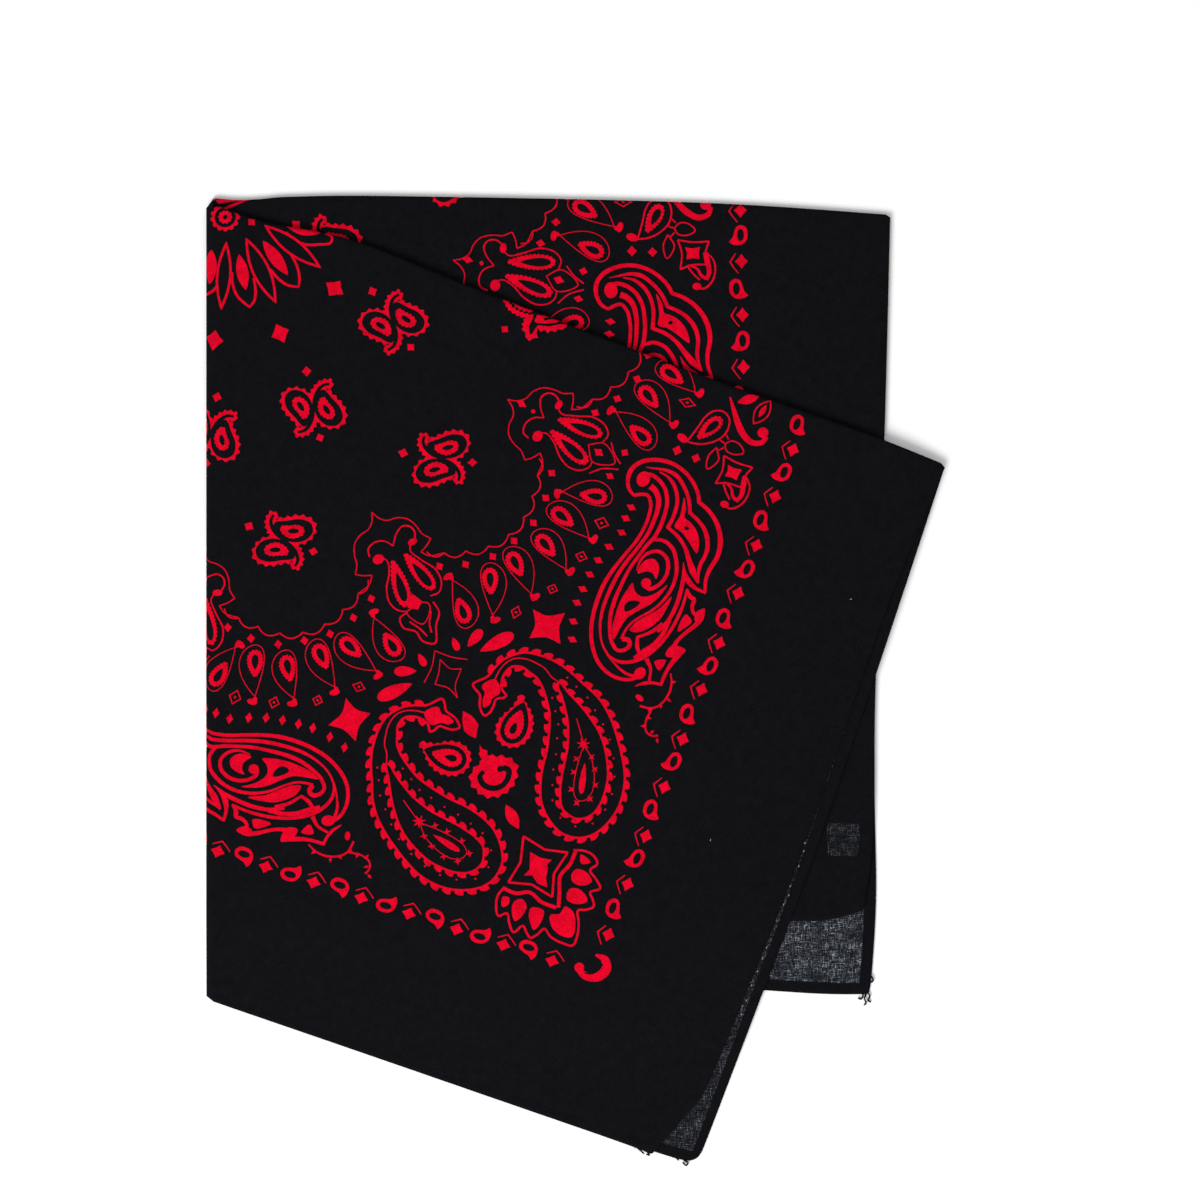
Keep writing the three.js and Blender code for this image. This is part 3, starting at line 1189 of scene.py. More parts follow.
def diagonal_group() -> Drawing:
    """What lies on the diagonal: the curl, the small star, the corner medallion and the crescent.

    Returns:
        The shapes.
    """
    made = Drawing()
    made.fill(spiked(smooth(CURL_BODY, closed=True), 3.4, 1.1))
    made.line(CURL_SLOT, 2.2, 2.2, 2.1, 2.2, 2.2, 1.6, ink=Ink.BLACK)
    made.fill(ellipse(165.6 + 163.0j, 1.2, 1.3), Ink.BLACK)
    made.fill(knots_of([(155.4, 157.0), (158.8, 159.6), (159.5, 161.6), (157.2, 161.4)]))
    for widths, *points in STAR_LINES:
        made.line(points, *widths)
    made.fill(
        cornered(
            [(145.2, 147), (149, 147.8), (152.3, 150)], [(152.3, 150), (152.6, 152.5), (153.2, 155)],
            [(153.2, 155), (150.5, 154.8), (148.2, 153.8)],
            [(148.2, 153.8), (146.2, 150.5), (145.2, 147)],
        )
    )
    made.fill(lens(172.2 + 175j, 179.8 + 182j, 4.2))
    for run in MEDALLION_LINES:
        for a, b in zip(run[:-1], run[1:]):
            made.line([a, b], 0.8)
    made.fill(
        knots_of(
            [
                (186.8, 188.7), (191, 189.6), (195.3, 189), (194.3, 191), (195, 192.5), (195.6, 196),
                (197.3, 199.2), (193.5, 199), (190.5, 196.7), (187.7, 197.7), (188.9, 195), (188.2, 193),
            ]
        )
    )
    made.line([(202.3, 182.5), (202.2, 188), (200.3, 193.7), (202, 199), (203.8, 205)], 1.3)
    made.line([(182, 204.5), (187, 205), (192, 203), (197, 205), (203, 205.3)], 1.3)
    fan = [
        (201.5, 183), (205, 182), (209, 182.5), (211.5, 185), (209.8, 188), (213, 190.5), (215.7, 193.3),
        (212.7, 196), (214.5, 198), (215.8, 200.5), (213.5, 202.5), (211, 203.5), (212.8, 208),
        (214, 213), (213.8, 216.5), (209, 217), (204.5, 216), (201.7, 214), (200, 217), (198, 219),
        (196, 217.5), (194, 215.5), (191.5, 219), (189, 216.5), (186.7, 213), (184.3, 215), (182, 211.5),
        (181.3, 208), (182.2, 204.8),
    ]
    made.line(fan, 0.8)
    for petal in (
        ((204.5, 183.7), (209, 185.3), (206, 186.8)),
        ((204, 191), (204.8, 189.5), (208, 189), (211.9, 192), (209, 194.5), (205, 194)),
        ((205.3, 197), (208, 196), (212.9, 199.5), (210, 201.5), (205.5, 201)),
        (
            (206, 203.8), (209, 204.5), (211.5, 208), (212, 214), (208, 214.5), (204, 212.5),
            (202, 208.5), (205, 207),
        ),
        ((183.3, 207.5), (185.5, 207.3), (186, 210), (184.5, 211.3)),
        ((187.8, 208), (190, 206.3), (192.5, 208), (192.7, 211), (190.5, 214.8), (188.3, 212)),
        ((194.3, 208.5), (199.3, 208), (199.8, 211), (198, 215.8), (196, 213.5), (194.5, 211)),
    ):
        made.fill(smooth(petal, closed=True))
    made.line(
        [(222.8, 217.3), (226.5, 217.8), (228.3, 221), (226.8, 224.5), (222, 226), (218.5, 224.2)], 0.8,
        3.0, 3.6, 3.4, 2.8, 2.0,
    )
    made.fill(ellipse(218.8 + 223.7j, 1.8, 1.8))
    made.line([(221, 225), (224, 224.5), (226, 222), (226.5, 219.5)], 0.5, ink=Ink.BLACK)
    return made


COLUMN_DIAMONDS = (15.9, 34.5, 54, 73, 92.8, 111.3, 131, 150, 169.5, 188.6, 208.6)
COLUMN_DROPS = (7, 25.5, 45, 64, 84, 102.5, 122, 140.5, 160, 179, 199.3)
ROW_DIAMONDS = (23, 41.6, 60.2, 78.8, 97.4, 116, 134.5, 153, 171.5, 189.7, 208.6)
ROW_DROPS = (14.4, 33, 51.6, 70.2, 88.8, 107.4, 126, 144.5, 163, 181, 199.3)
BORDER_DROP = (
    (3.9, 2.6), (2.5, 1.0), (1.9, -1.1), (1.0, -2.9), (-0.7, -3.5), (-2.5, -2.3), (-2.9, 0.1),
    (-2.4, 2.1), (-0.8, 3.5), (1.0, 3.8), (2.6, 3.5), (3.9, 2.6),
)


def border(diamonds: Sequence[float], drops: Sequence[float]) -> Drawing:
    """A row of the border: diamonds with a bracket, and hooked drops, in turn.

    Args:
        diamonds: places of the diamonds along the row.
        drops: places of the drops.

    Returns:
        The shapes.
    """
    made = Drawing()
    for q in diamonds:
        made.fill(diamond(complex(224.6, q), 2.35, 2.7, 0, 0.9))
        made.line([(222.5, q - 2.9), (220.5, q + 0.2)], 0.35, 0.5)
        made.line([(220.4, q + 0.1), (221.6, q + 2.0), (223.4, q + 4.3)], 0.5, 0.35)
    for k, q in enumerate(drops):
        side = 1 if k % 2 == 0 else -1
        centre = complex(223.5 - 0.6 * side, q - 0.7)
        made.fill(cornered([(centre.real + side * x, centre.imag + y) for x, y in BORDER_DROP]))
        made.fill(ellipse(centre + complex(-0.35 * side, 0.1), 1.3, 2.3, 0, 16), Ink.BLACK)
    return made


# In SIDE_BANDS, MID_LINES and STAR_LINES each line has its widths first, then its knots
SIDE_BANDS = (
    (
        (1.0, 1.6, 1.5, 1.4, 1.3, 1.3), (175.7, 51), (173.3, 49.3), (171.5, 45.5), (171.7, 41.5),
        (174.3, 38), (178.5, 35.9), (185, 35.2), (190.5, 36.8), (195, 39.8), (198, 43.3), (199.3, 46),
    ),
    (
        (1.3, 1.5, 1.8, 1.5, 1.0), (199, 45.6), (202.5, 46.9), (206.5, 49.5), (210, 53.5), (212, 58),
        (212.6, 63), (211.6, 68), (211.6, 72), (212.9, 76.3),
    ),
    ((1.0, 1.2, 2.0, 1.2, 0.2), (213.4, 76.7), (209.5, 76.4), (206, 74.8), (203, 71.5), (201.7, 68.7)),
    (
        (1.2, 1.2, 1.2, 1.5, 1.4, 1.3, 1.2), (175.7, 51), (178, 49.8), (180.5, 49.3), (182.5, 51.5),
        (183.6, 56), (183.6, 61), (182.8, 66), (180.8, 72), (178.8, 78), (177.2, 85), (176.9, 92),
        (177.6, 99), (179.3, 105), (182, 110), (185.5, 114), (190, 116.5), (194.3, 117.2), (198.5, 116.3),
        (201, 114.6),
    ),
    (
        (2.2, 1.6, 1.3, 1.3, 1.4, 1.2, 0.7, 0.6, 1.2), (180.3, 45.8), (182.3, 46.6), (184.6, 49),
        (185.8, 53), (186, 58), (185.6, 63), (184, 69), (182, 75), (180.6, 81), (179.9, 88), (180, 95),
        (181.3, 101), (184, 106.5), (188, 110.5), (192, 112.9), (196.5, 114.6), (200, 114.6),
    ),
    (
        (1.4, 1.4, 1.4, 1.4, 1.2, 1.2, 1.5, 1.3, 1.3, 1.8), (177, 42.2), (179, 41.7), (182, 42.4),
        (185.5, 44.8), (188, 49), (189, 55), (188.9, 60), (188.3, 63.5), (186.8, 67), (185.3, 72),
        (184, 77), (183.2, 84), (182.9, 90), (183.3, 95), (184.9, 100.5), (187.5, 105.3), (190.5, 107.4),
        (193, 106.3), (194, 104.2), (192.8, 102.5), (190.6, 102.9),
    ),
    (
        (1.2, 1.4, 1.3, 1.0, 0.8, 0.9), (188.3, 64.2), (192, 63.4), (196, 65), (199, 69), (200.8, 74),
        (200.9, 80), (199.5, 85), (197, 89.5), (193.5, 93.5), (191.3, 97), (190.4, 101), (190.3, 103),
    ),
    (
        (0.4, 1.1, 1.3, 1.4, 1.3, 1.6), (186.7, 77.2), (186.6, 73), (188.3, 69.6), (191.5, 67.8),
        (195, 68.9), (197, 72), (197.3, 76.5), (195.8, 80), (193.3, 82), (191.3, 81.5),
    ),
    (
        (0.3, 1.5, 1.5, 1.4, 1.6), (201.7, 68.7), (203.6, 74), (204.6, 80), (204.7, 87), (203.6, 92.5),
        (201.5, 96),
    ),
    (
        (0.4, 1.2, 1.3, 1.2, 1.2, 1.1, 0.8), (185.6, 108.2), (188.5, 110.5), (193, 111.2), (197, 109.7),
        (200.5, 106.7), (203.8, 101.5), (206, 95), (207, 88), (207, 82), (206.4, 77.6),
    ),
    ((0.9, 1.2, 1.6), (195.4, 100.6), (199.5, 97.2), (202.6, 92.8)),
    ((1.4, 1.5, 1.6, 2.2, 1.2), (204.4, 91), (203.8, 97), (201.8, 102), (199.3, 105.5), (197.2, 108.3)),
    ((1.0, 1.4, 1.2), (195.6, 100.3), (196.6, 103.5), (198.4, 106)),
    (
        (0.2, 0.9, 1.5, 1.3, 1.3, 1.3), (176.3, 39.6), (180, 38.9), (183.5, 38.3), (188, 39), (192, 42),
        (195, 45.5), (196.8, 49), (197.4, 50.6),
    ),
    (
        (1.2, 1.3, 1.6, 1.4, 1.3, 0.8), (197, 50.3), (200.5, 51.8), (204.5, 54.5), (207.5, 59),
        (208.3, 63), (207.8, 68), (208.7, 72.5), (209.4, 74.2),
    ),
    (
        (0.4, 1.3, 1.3, 1.3, 1.3), (181.5, 39.6), (185.5, 40.6), (189.5, 44), (191.8, 49), (192.2, 54),
        (191.7, 58.6),
    ),
    (
        (1.2, 1.3, 1.3, 1.7, 2.4, 0.6), (191.6, 58.2), (196, 60), (200, 63), (203.5, 67.5), (206.3, 71),
        (209.2, 74.1),
    ),
    (
        (0.6, 1.6, 1.4, 1.2, 1.3), (206.5, 77.6), (208.6, 80), (210.2, 80.4), (210.4, 83), (212, 85.4),
        (213.6, 85.8),
    ),
    (
        (0.5, 1.8, 1.4, 1.2, 1.6), (214.9, 82.6), (215.3, 85.5), (214.2, 89), (211.5, 93.5), (209.8, 97),
        (209.2, 100.5),
    ),
    ((0.4, 1.8, 1.2, 1.2), (213.9, 99.4), (211.4, 104), (210.1, 109), (209.9, 114)),
    ((1.0, 1.0, 1.2, 0.3), (210.4, 114.3), (206.5, 114.8), (203.8, 116), (201.2, 118)),
    ((1.6, 1.0, 0.9), (201.5, 107), (204.3, 110), (205.4, 114.5)),
    (
        (0.5, 0.8, 0.7, 0.8), (211.8, 109.3), (213.2, 112), (213.9, 115.5), (213.4, 119), (212, 122),
        (209.8, 123.8), (205.5, 124.4),
    ),
    ((0.7, 0.6, 0.7), (210, 124), (209.6, 129.5), (211.2, 132.8), (214, 133.4), (215.6, 132.6)),
)
SIDE_FILLS = (
    (
        (187.5, 78), (187.2, 75), (188.5, 72.3), (191, 71), (193.3, 72.3), (194.4, 75), (194.3, 77.8),
        (193, 76.5), (191, 76), (188.8, 77),
    ),
    (
        (186.8, 82), (188.7, 84.5), (191.5, 85.7), (195, 84), (197.8, 80.5), (199, 78.5), (198, 83),
        (196, 87), (192.5, 91), (189.5, 95), (188.5, 99), (187.6, 104), (186, 101), (185.2, 96),
        (185, 90), (185.8, 85),
    ),
    (
        (202.1, 82.2), (199.3, 88), (195.6, 92.3), (193, 95.6), (192.1, 99), (194.6, 98.9), (198, 96.3),
        (200.8, 92), (201.9, 87),
    ),
    (
        (193.3, 45.8), (195.5, 49.5), (196.2, 52.8), (198.5, 53.6), (202, 56), (204.3, 59.5),
        (205.1, 63.8), (200.5, 60.5), (197, 58.2), (194, 57.3), (194.4, 53), (193.8, 48.5),
    ),
    ((209.6, 86.6), (212.2, 88.5), (210.8, 91.5), (209, 93.6)),
    ((204.7, 107), (208.4, 105.2), (207.4, 109.6)),
    ((208.4, 99.5), (213.9, 99.3), (211, 103.2), (207.8, 103.6)),
    ((212.5, 85.2), (215, 82.4), (215.6, 86), (213.5, 88)),
)


def side_paisley() -> Drawing:
    """The long paisley of many bands beside the border.

    Returns:
        The shapes.
    """
    made = Drawing()
    for widths, *points in SIDE_BANDS:
        made.line(points, *widths)
    for points in SIDE_FILLS:
        made.fill(smooth(points, closed=True))
    made.fill(ellipse(176.9 + 44.1j, 2.4, 2.9, 0, 18))
    made.fill(ellipse(191.5 + 80.4j, 1.8, 1.9, 0, 14))
    made.fill(ellipse(201.2 + 112.9j, 2.0, 2.4, 20, 16))
    made.fill(ellipse(198.3 + 56.3j, 0.9, 0.75, 0, 10), Ink.BLACK)
    made.fill(
        smooth(
            [(189.5, 88), (191.9, 87.8), (190.5, 91), (187.9, 92.9), (187, 91), (187.8, 89)], closed=True,
        ),
        Ink.BLACK,
    )
    made.fill(ellipse(204.3 + 121.6j, 1.7, 1.0, 20, 10))
    for p, q, a in (
        (213.9, 112, -30), (214.6, 118.8, 20), (212.6, 121.8, 60), (209.3, 124.6, 80), (210, 127.5, 180),
        (209.4, 131, 160), (213, 132.2, -60), (216, 134.5, 60),
    ):
        made.fill(diamond(complex(p, q), 1.2, 0.6, a, 0.8))
    return made


MID_LINES = (
    (
        (0.5, 1.4, 2.0, 2.4, 2.2, 1.9, 1.6), (196, 5), (199, 9), (202, 13), (205.5, 16.5), (209.5, 18.3),
        (213, 17), (213.8, 14.5),
    ),
    (
        (0.6, 0.6), (187, 25.7), (189, 19), (190, 15), (192, 12), (195.5, 10.8), (198.5, 12.5),
        (199.5, 16), (198.5, 20), (195, 23.5), (190, 25.5), (187, 25.7),
    ),
    (
        (0.5, 0.5), (200.5, 22), (202, 20.3), (205, 20.2), (208, 23), (204.5, 24.7), (201.5, 24),
        (200.5, 22),
    ),
    ((0.5, 0.5), (198, 24.3), (196.3, 28), (197.5, 33), (200.3, 28.5), (198, 24.3)),
    ((0.5, 0.5), (199.5, 18.5), (201, 20)), ((0.5, 0.5), (197.5, 21), (200.5, 22)),
    ((0.5, 0.5), (199, 25), (200.5, 23.5)), ((0.6, 0.6), (201.6, 26.3), (207, 27.2), (213, 27)),
    ((0.6, 0.6), (213, 27), (211.6, 30.8), (211.9, 35)),
    ((0.6, 0.6), (211.5, 35.4), (206, 35.6), (202.3, 37)),
    ((0.6, 0.6), (202.3, 37), (203.0, 31.5), (201.6, 26.3)),
    ((0.5, 0.7, 0.7), (212, 31), (214.5, 34), (215, 38), (213.5, 42), (210.5, 44.2), (208.3, 43.7)),
    ((0.6, 0.7, 1.2), (209.3, 41), (206.8, 38.5), (205, 35.6), (208.5, 37), (210, 39.5), (211.5, 40.5)),
    ((1.6, 2.0, 1.6, 1.2), (211.5, 31), (212.3, 35), (212.8, 38), (211.8, 41)),
)


def mid_side_group() -> Drawing:
    """What lies between the side paisley and the fold.

    Returns:
        The shapes.
    """
    made = Drawing()
    for widths, *points in MID_LINES:
        made.line(points, *widths)
    made.fill(ellipse(212 + 13.5j, 2.0, 2.0))
    made.fill(lens(199.3 + 6j, 206 + 1j, 3.4))
    made.ringed(lens(207.5 + 11.8j, 210.5 + 1.0j, 5.6), 0.5)
    made.fill(lens(208.5 + 8.6j, 209.6 + 3.3j, 1.9))
    made.fill(ellipse(185 + 25j, 2.2, 1.4, 20, 12))
    toothed_drop(made, 190.3 + 23.2j, 195.6 + 13.6j, 4.6, 18, 0.5, (192 + 20.7j, 195.2 + 14.9j, 2.8))
    made.fill(
        knots_of(
            [
                (204.2, 29), (206.8, 29.5), (209.6, 29), (209.1, 31.3), (209.2, 33.4), (206.8, 33),
                (204.6, 33.4), (204.9, 31),
            ]
        )
    )
    made.fill(ellipse(208.2 + 43.3j, 1.6, 1.3))
    return made


STAR_LINES = (
    ((0.35, 0.35), (127.5, 129), (134, 129.3), (140, 128.3)),
    ((0.35, 0.35), (127.5, 129), (128.6, 135), (128, 141.5)),
    ((0.35, 0.35), (130.5, 131.5), (135.5, 133.5), (139, 132.3)),
    ((0.35, 0.35), (139, 132.3), (139.5, 140), (141.6, 143)),
    ((0.35, 0.35), (141.6, 143), (137, 140.6), (132, 140.8)),
    ((0.35, 0.35), (132, 140.8), (131.7, 136), (130.5, 131.5)),
)


def thinned(outline: np.ndarray, tolerance: float = 0.03) -> np.ndarray:
    """Leave out points that lie on the line between their neighbours.

    Args:
        outline: closed loop.
        tolerance: how far a point may lie off that line.

    Returns:
        The loop with fewer points.
    """
    ring = outline
    for start in (0, 1, 0, 1):
        if len(ring) < 8:
            break
        chord = np.roll(ring, -1) - np.roll(ring, 1)
        off = np.abs(((ring - np.roll(ring, 1)) * np.conj(chord)).imag) / np.maximum(np.abs(chord), 1e-9)
        spare = (off < tolerance) & (np.abs(chord) < 4.0)
        spare[(np.arange(len(ring)) % 2) != start] = False
        spare[-1] = False
        ring = ring[~spare]
    return ring


def quarter_print(on_back: bool) -> Drawing:
    """One quarter of the print, from the middle of the cloth to its corner, and a little past its folds.

    Args:
        on_back: whether it is for the back pair, whose middle lies under the front.

    Returns:
        The shapes.
    """
    edge = Drawing()
    for part in (ring_drops, side_paisley, mid_side_group, corner_paisley):
        edge.add(part())
    made = Drawing()
    for outline, ink in [*ring_drops().shapes, *mid_side_group().shapes]:
        if outline.imag.min() < 8:
            made.fill(np.conj(outline), ink)
    middle = (tip_strokes,) if on_back else (petals, rosette, fold_sprig)
    for part in (scallops, palmettes, *middle):
        made.add(part())
    made.add(sprigs(BACK_SPRIGS if on_back else FRONT_SPRIGS))
    made.add(edge)
    made.add(edge, mirrored=True)
    made.add(border(COLUMN_DIAMONDS, COLUMN_DROPS))
    made.add(border(ROW_DIAMONDS, ROW_DROPS), mirrored=True)
    made.add(diagonal_group())
    return made


@dataclass(frozen=True)
class PrintPlace:
    """How the print lies on a pair of plies: its origin and its two axes in the plane of the outlines."""

    origin: complex
    across: complex
    down: complex
    stretch: tuple[complex, ...] = (0, 0, 0, 0, 0, 0)
    middle: complex = 145.4 - 149.1j
    half: float = 148.0

    def placed(self, drawing: Drawing) -> list[tuple[np.ndarray, int]]:
        """Move the print onto the plies, with the slight stretch of the cloth: a shift of second degree.

        Args:
            drawing: the print, in millimetres from the middle of the cloth.

        Returns:
            Closed outlines in the plane with their inks.
        """
        out = []
        for outline, ink in drawing.shapes:
            ring = thinned(outline)
            flat = self.origin + ring.real * self.across + ring.imag * self.down
            x, y = (flat - self.middle).real / self.half, (self.middle - flat).imag / self.half
            terms = (np.ones(len(x)), x, y, x * x, x * y, y * y)
            shift = sum(factor * term for factor, term in zip(self.stretch, terms))
            out.append((turned_right(flat + shift), ink.value))
        return out


FRONT_PRINT = PrintPlace(
    8.756 - 7.595j,
    0.95317 - 0.31518j,
    -0.35611 - 0.93138j,
    (-0.17 + 0.05j, -0.85 - 0.57j, 0.11 + 0.26j, -0.06 - 1.08j, 0.05 - 0.13j, 0.14 - 0.04j),
)
BACK_PRINT = PrintPlace(-30.86 + 6.51j, 1.01431 + 0.01983j, 0.01983 - 1.01431j)


# The cloth of one ply, cut flat and then laid in place


@dataclass(frozen=True)
class PlyKind:
    """Where a ply lies and which of its edges roll on into a fold."""

    name: str
    level: float
    base: Callable[[np.ndarray], np.ndarray]
    rolls_over_top: bool
    left_reach: float = 0.0
    left_floor: float = 0.0
    left_onto: str = ""
    # Share of the reverse that shows on the bare outlines; for the front's under ply it is kept low, which
    # darkens its reverse as painted shade.
    bareness_and_shade: float = 0.0
    corner: float = 1.3


@dataclass(frozen=True)
class Spot:
    """The nearest points on a path, seen from many points."""

    distance: np.ndarray
    foot: np.ndarray
    share: np.ndarray
    left: np.ndarray


def nearest_on(path: np.ndarray, points: np.ndarray) -> Spot:
    """Look up the nearest point of a path for each point.

    Args:
        path: complex points of the path.
        points: complex points to look from.

    Returns:
        Distances, feet, shares of the path and on which side the points are.
    """
    start, step = path[:-1], np.diff(path)
    found = []
    for part in np.array_split(points, max(len(points) // CHUNK, 1)):
        offset = part[:, None] - start[None, :]
        turned = offset * np.conj(step)[None, :]
        t = np.clip(turned.real / np.abs(step) ** 2, 0, 1)
        gap = np.abs(offset - t * step)
        k = gap.argmin(axis=1)
        row = np.arange(len(part))
        found.append(
            (
                gap[row, k], start[k] + t[row, k] * step[k], (k + t[row, k]) / len(step),
                turned[row, k].imag > 0,
            )
        )
    return Spot(*(np.concatenate(column) for column in zip(*found)))


# Where the hidden label makes the cloth of the back look paler
THIN_PATCHES = (
    ((229.0, -231.5), (241.0, -231.8), (241.3, -236.4), (229.2, -236.2)),
    ((229.2, -236.6), (241.2, -236.8), (240.6, -243.8), (229.6, -243.4)),
)


class FoldedPly:
    """One ply with its hems, and the folds that go on from it, as a flat cut that is laid in place."""

    CELL = 2.8
    HEM_ZONE = 7.2
    EDGE_WIDTH = 0.8
    GROOVE_WIDTH = 0.55
    PUCKER_REACH = 3.5
    FLAT_EDGE = 0.5
    PAST_FOLD = 1.5
    HEM_ROWS = (0.3, 0.8, 2.0, 3.2, 3.7, 4.2, 5.0, 6.5)
    ROLL_ROWS = (0.5, 1.0, 1.5, 2.0, 2.6, 3.1)
    LEFT_ROWS = (0.7, 1.4, 2.2, 3.0, 3.9, 5.0, 6.2)
    EDGE_DROP = 0.35
    STITCH_DEPTH = 0.16
    STITCH_INSET = 3.7
    PUCKER = 0.16

    def __init__(self, kind: PlyKind) -> None:
        """Set up the cut.

        Args:
            kind: level and folds of the ply.
        """
        self.kind = kind
        self.surface = surface = PLY_SURFACES[kind.name]
        self.shoulder = surface.shoulder(np.linspace(0, 1, 121))
        self.side = surface.at(1.0, np.linspace(0, 1, 161))
        self.bottom = surface.at(np.linspace(0, 1, 121), 1.0)
        self.width = float(np.abs(surface.at(1, 0.5) - surface.at(0, 0.5)))
        self.height = float(np.abs(surface.at(0.5, 1) - surface.at(0.5, 0)))

    def outline(self) -> np.ndarray:
        """The flat cut, with the strips that roll over the folds.

        Returns:
            Complex points, anticlockwise.
        """
        start = 0.0 if self.kind.rolls_over_top else SIZES.gap / self.height
        down = np.linspace(start, 1, 112)
        across = np.linspace(0, 1, 104)
        left = self.surface.at(0.0, down)
        bottom = self.surface.at(across, 1.0)
        side = self.surface.at(1.0, down[::-1])
        top = self.surface.at(across[::-1], start)
        if self.kind.left_reach:
            rolled = left.imag * 1j + SIZES.left_reach - self.kind.left_reach * math.pi
            left = np.concatenate([left[:1], rolled, left[-1:]])
        if self.kind.rolls_over_top:
            rise = SIZES.fold_radius * math.pi * self.surface.top.normal(across[::-1])
            side = np.append(side, side[-1:] + rise[:1])[:-1]
            top = np.concatenate([top[:1], top + rise, top[-1:]])
        ring = np.concatenate([left[:-1], bottom[:-1], side[:-1], top[:-1]])
        corner = self.surface.at(1.0, 1.0)
        cut_off = np.flatnonzero(np.abs(ring - corner) < self.kind.corner)
        first, last = cut_off[0], cut_off[-1]
        ends = np.array([ring[first - 1], ring[last + 1]]) - corner
        start, stop = corner + self.kind.corner * ends / np.abs(ends)
        t = np.linspace(0, 1, 9)
        arc = (1 - t) ** 2 * start + 2 * t * (1 - t) * corner + t**2 * stop
        return np.concatenate([ring[:first], arc, ring[last + 1 :]])

    def inner_points(self) -> np.ndarray:
        """Points inside the cut: an even grid, with closer rows along the hems and the folds.

        Returns:
            Complex points.
        """
        across = int(self.width / self.CELL)
        down = int(self.height / self.CELL)
        u, v = np.meshgrid(np.linspace(0, 1, across + 1)[1:-1], np.linspace(0, 1, down + 1)[1:-1])
        keep = (u < 1 - self.HEM_ZONE / self.width) & (v < 1 - self.HEM_ZONE / self.height)
        found = [self.surface.at(u[keep], v[keep])]
        along = np.linspace(0, 1, 150)[1:-1]
        for inset in self.HEM_ROWS:
            share_u, share_v = 1 - inset / self.width, 1 - inset / self.height
            found += [self.surface.at(share_u, along * share_v), self.surface.at(along * share_u, share_v)]
        if self.kind.rolls_over_top:
            normal = self.surface.top.normal(along)
            found += [self.surface.at(along, 0.0) + row * normal for row in (0.0, *self.ROLL_ROWS)]
        if self.kind.left_reach:
            edge, reach = self.surface.at(0.0, along).imag * 1j + SIZES.left_reach, self.kind.left_reach
            found += [edge - row * reach / SIZES.left_reach for row in (0.0, *self.LEFT_ROWS)]
        return np.concatenate(found)

    def bare_outlines(self) -> list[np.ndarray]:
        """What of the upper face shows the reverse of the cloth: all inside the hems of a lower ply.

        Returns:
            Closed outlines.
        """
        if self.kind.name == "back_upper":
            return [turned_right(knots_of(ring)) for ring in THIN_PATCHES]
        if self.kind.rolls_over_top:
            return []
        u = np.linspace(0, 1 - SIZES.hem / self.width, 90)
        v = np.linspace(0, 1 - SIZES.hem / self.height, 90)
        left = self.surface.at(0.0, v) - self.PAST_FOLD
        top = self.surface.at(u, 0.0) + 1j * self.PAST_FOLD
        ring = [left[1:], self.surface.at(u, v[-1])[1:-1], self.surface.at(u[-1], v[::-1])[:-1], top[::-1]]
        return [turned_right(np.concatenate(ring))]

    def relief(self, points: np.ndarray) -> np.ndarray:
        """Small rise and fall of the cloth: hem edges, stitch groove and puckers.

        Args:
            points: complex points of the flat cut.

        Returns:
            Heights to add.
        """
        hem = np.minimum(nearest_on(self.side, points).distance, nearest_on(self.bottom, points).distance)
        edge = -self.EDGE_DROP * np.clip(1 - hem / self.EDGE_WIDTH, 0, 1) ** 2
        groove = -self.STITCH_DEPTH * np.exp(-(((hem - self.STITCH_INSET) / self.GROOVE_WIDTH) ** 2))
        wave = np.sin(points.real / 1.9 + 0.6 * np.sin(points.imag / 7)) * np.sin(points.imag / 2.3)
        band = np.exp(-(((hem - self.STITCH_INSET) / self.PUCKER_REACH) ** 2)) * (hem > self.FLAT_EDGE)
        pucker = self.PUCKER * wave * band
        return edge + groove + np.abs(pucker)

    def lay(self, points: np.ndarray) -> tuple[np.ndarray, np.ndarray]:
        """Lay points of the flat cut in place.

        Args:
            points: complex points of the flat cut.

        Returns:
            The upper and the lower face as rows of x, y, z.
        """
        wall = SIZES.wall
        rise = self.relief(points)
        low = self.kind.base(points) + self.kind.level
        upper = np.stack([points.real, points.imag, low + wall + rise], axis=1)
        lower = np.stack([points.real, points.imag, low + np.maximum(rise, 0.0)], axis=1)
        if self.kind.rolls_over_top:
            spot = nearest_on(self.shoulder, points)
            past = spot.left & (spot.distance > 1e-7)
            foot, turn = spot.foot[past], spot.distance[past] / SIZES.fold_radius
            normal = self.surface.top.normal(spot.share[past])
            axis = self.kind.base(foot) + self.kind.level - SIZES.pitch + SIZES.fold_radius
            for face, radius in ((upper, SIZES.fold_radius), (lower, SIZES.fold_radius - wall)):
                place = foot + normal * radius * np.sin(turn)
                face[past] = np.stack([place.real, place.imag, axis + radius * np.cos(turn)], axis=1)
        if self.kind.left_reach:
            past = points.real < SIZES.left_reach
            turn = (SIZES.left_reach - points.real[past]) / self.kind.left_reach
            onto = PLY_SURFACES[self.kind.left_onto]
            head, foot_end = self.surface.at(0, 0).imag, self.surface.at(0, 1).imag
            along = (points.imag[past] - head) / (foot_end - head)
            share = soft_step(2 * turn / math.pi - 1)
            start = head + turn / math.pi * (onto.top.at(0.0).imag - head)
            end = foot_end + share * (onto.at(0, 1).imag - foot_end)
            y = start + along * (end - start)
            top = self.kind.base(points[past]) + self.kind.level + wall
            middle = (top + self.kind.left_floor) / 2
            for face, inset in ((upper, 0.0), (lower, wall)):
                x = SIZES.left_reach - (self.kind.left_reach - inset) * np.sin(turn)
                z = middle + (top - middle - inset) * np.cos(turn)
                face[past] = np.stack([x, y, z], axis=1)
        return upper, lower


# Meshes


@dataclass
class CutMesh:
    """The triangles of a flat cut, with the ink of each."""

    points: np.ndarray
    faces: np.ndarray
    inks: np.ndarray
    bare: np.ndarray


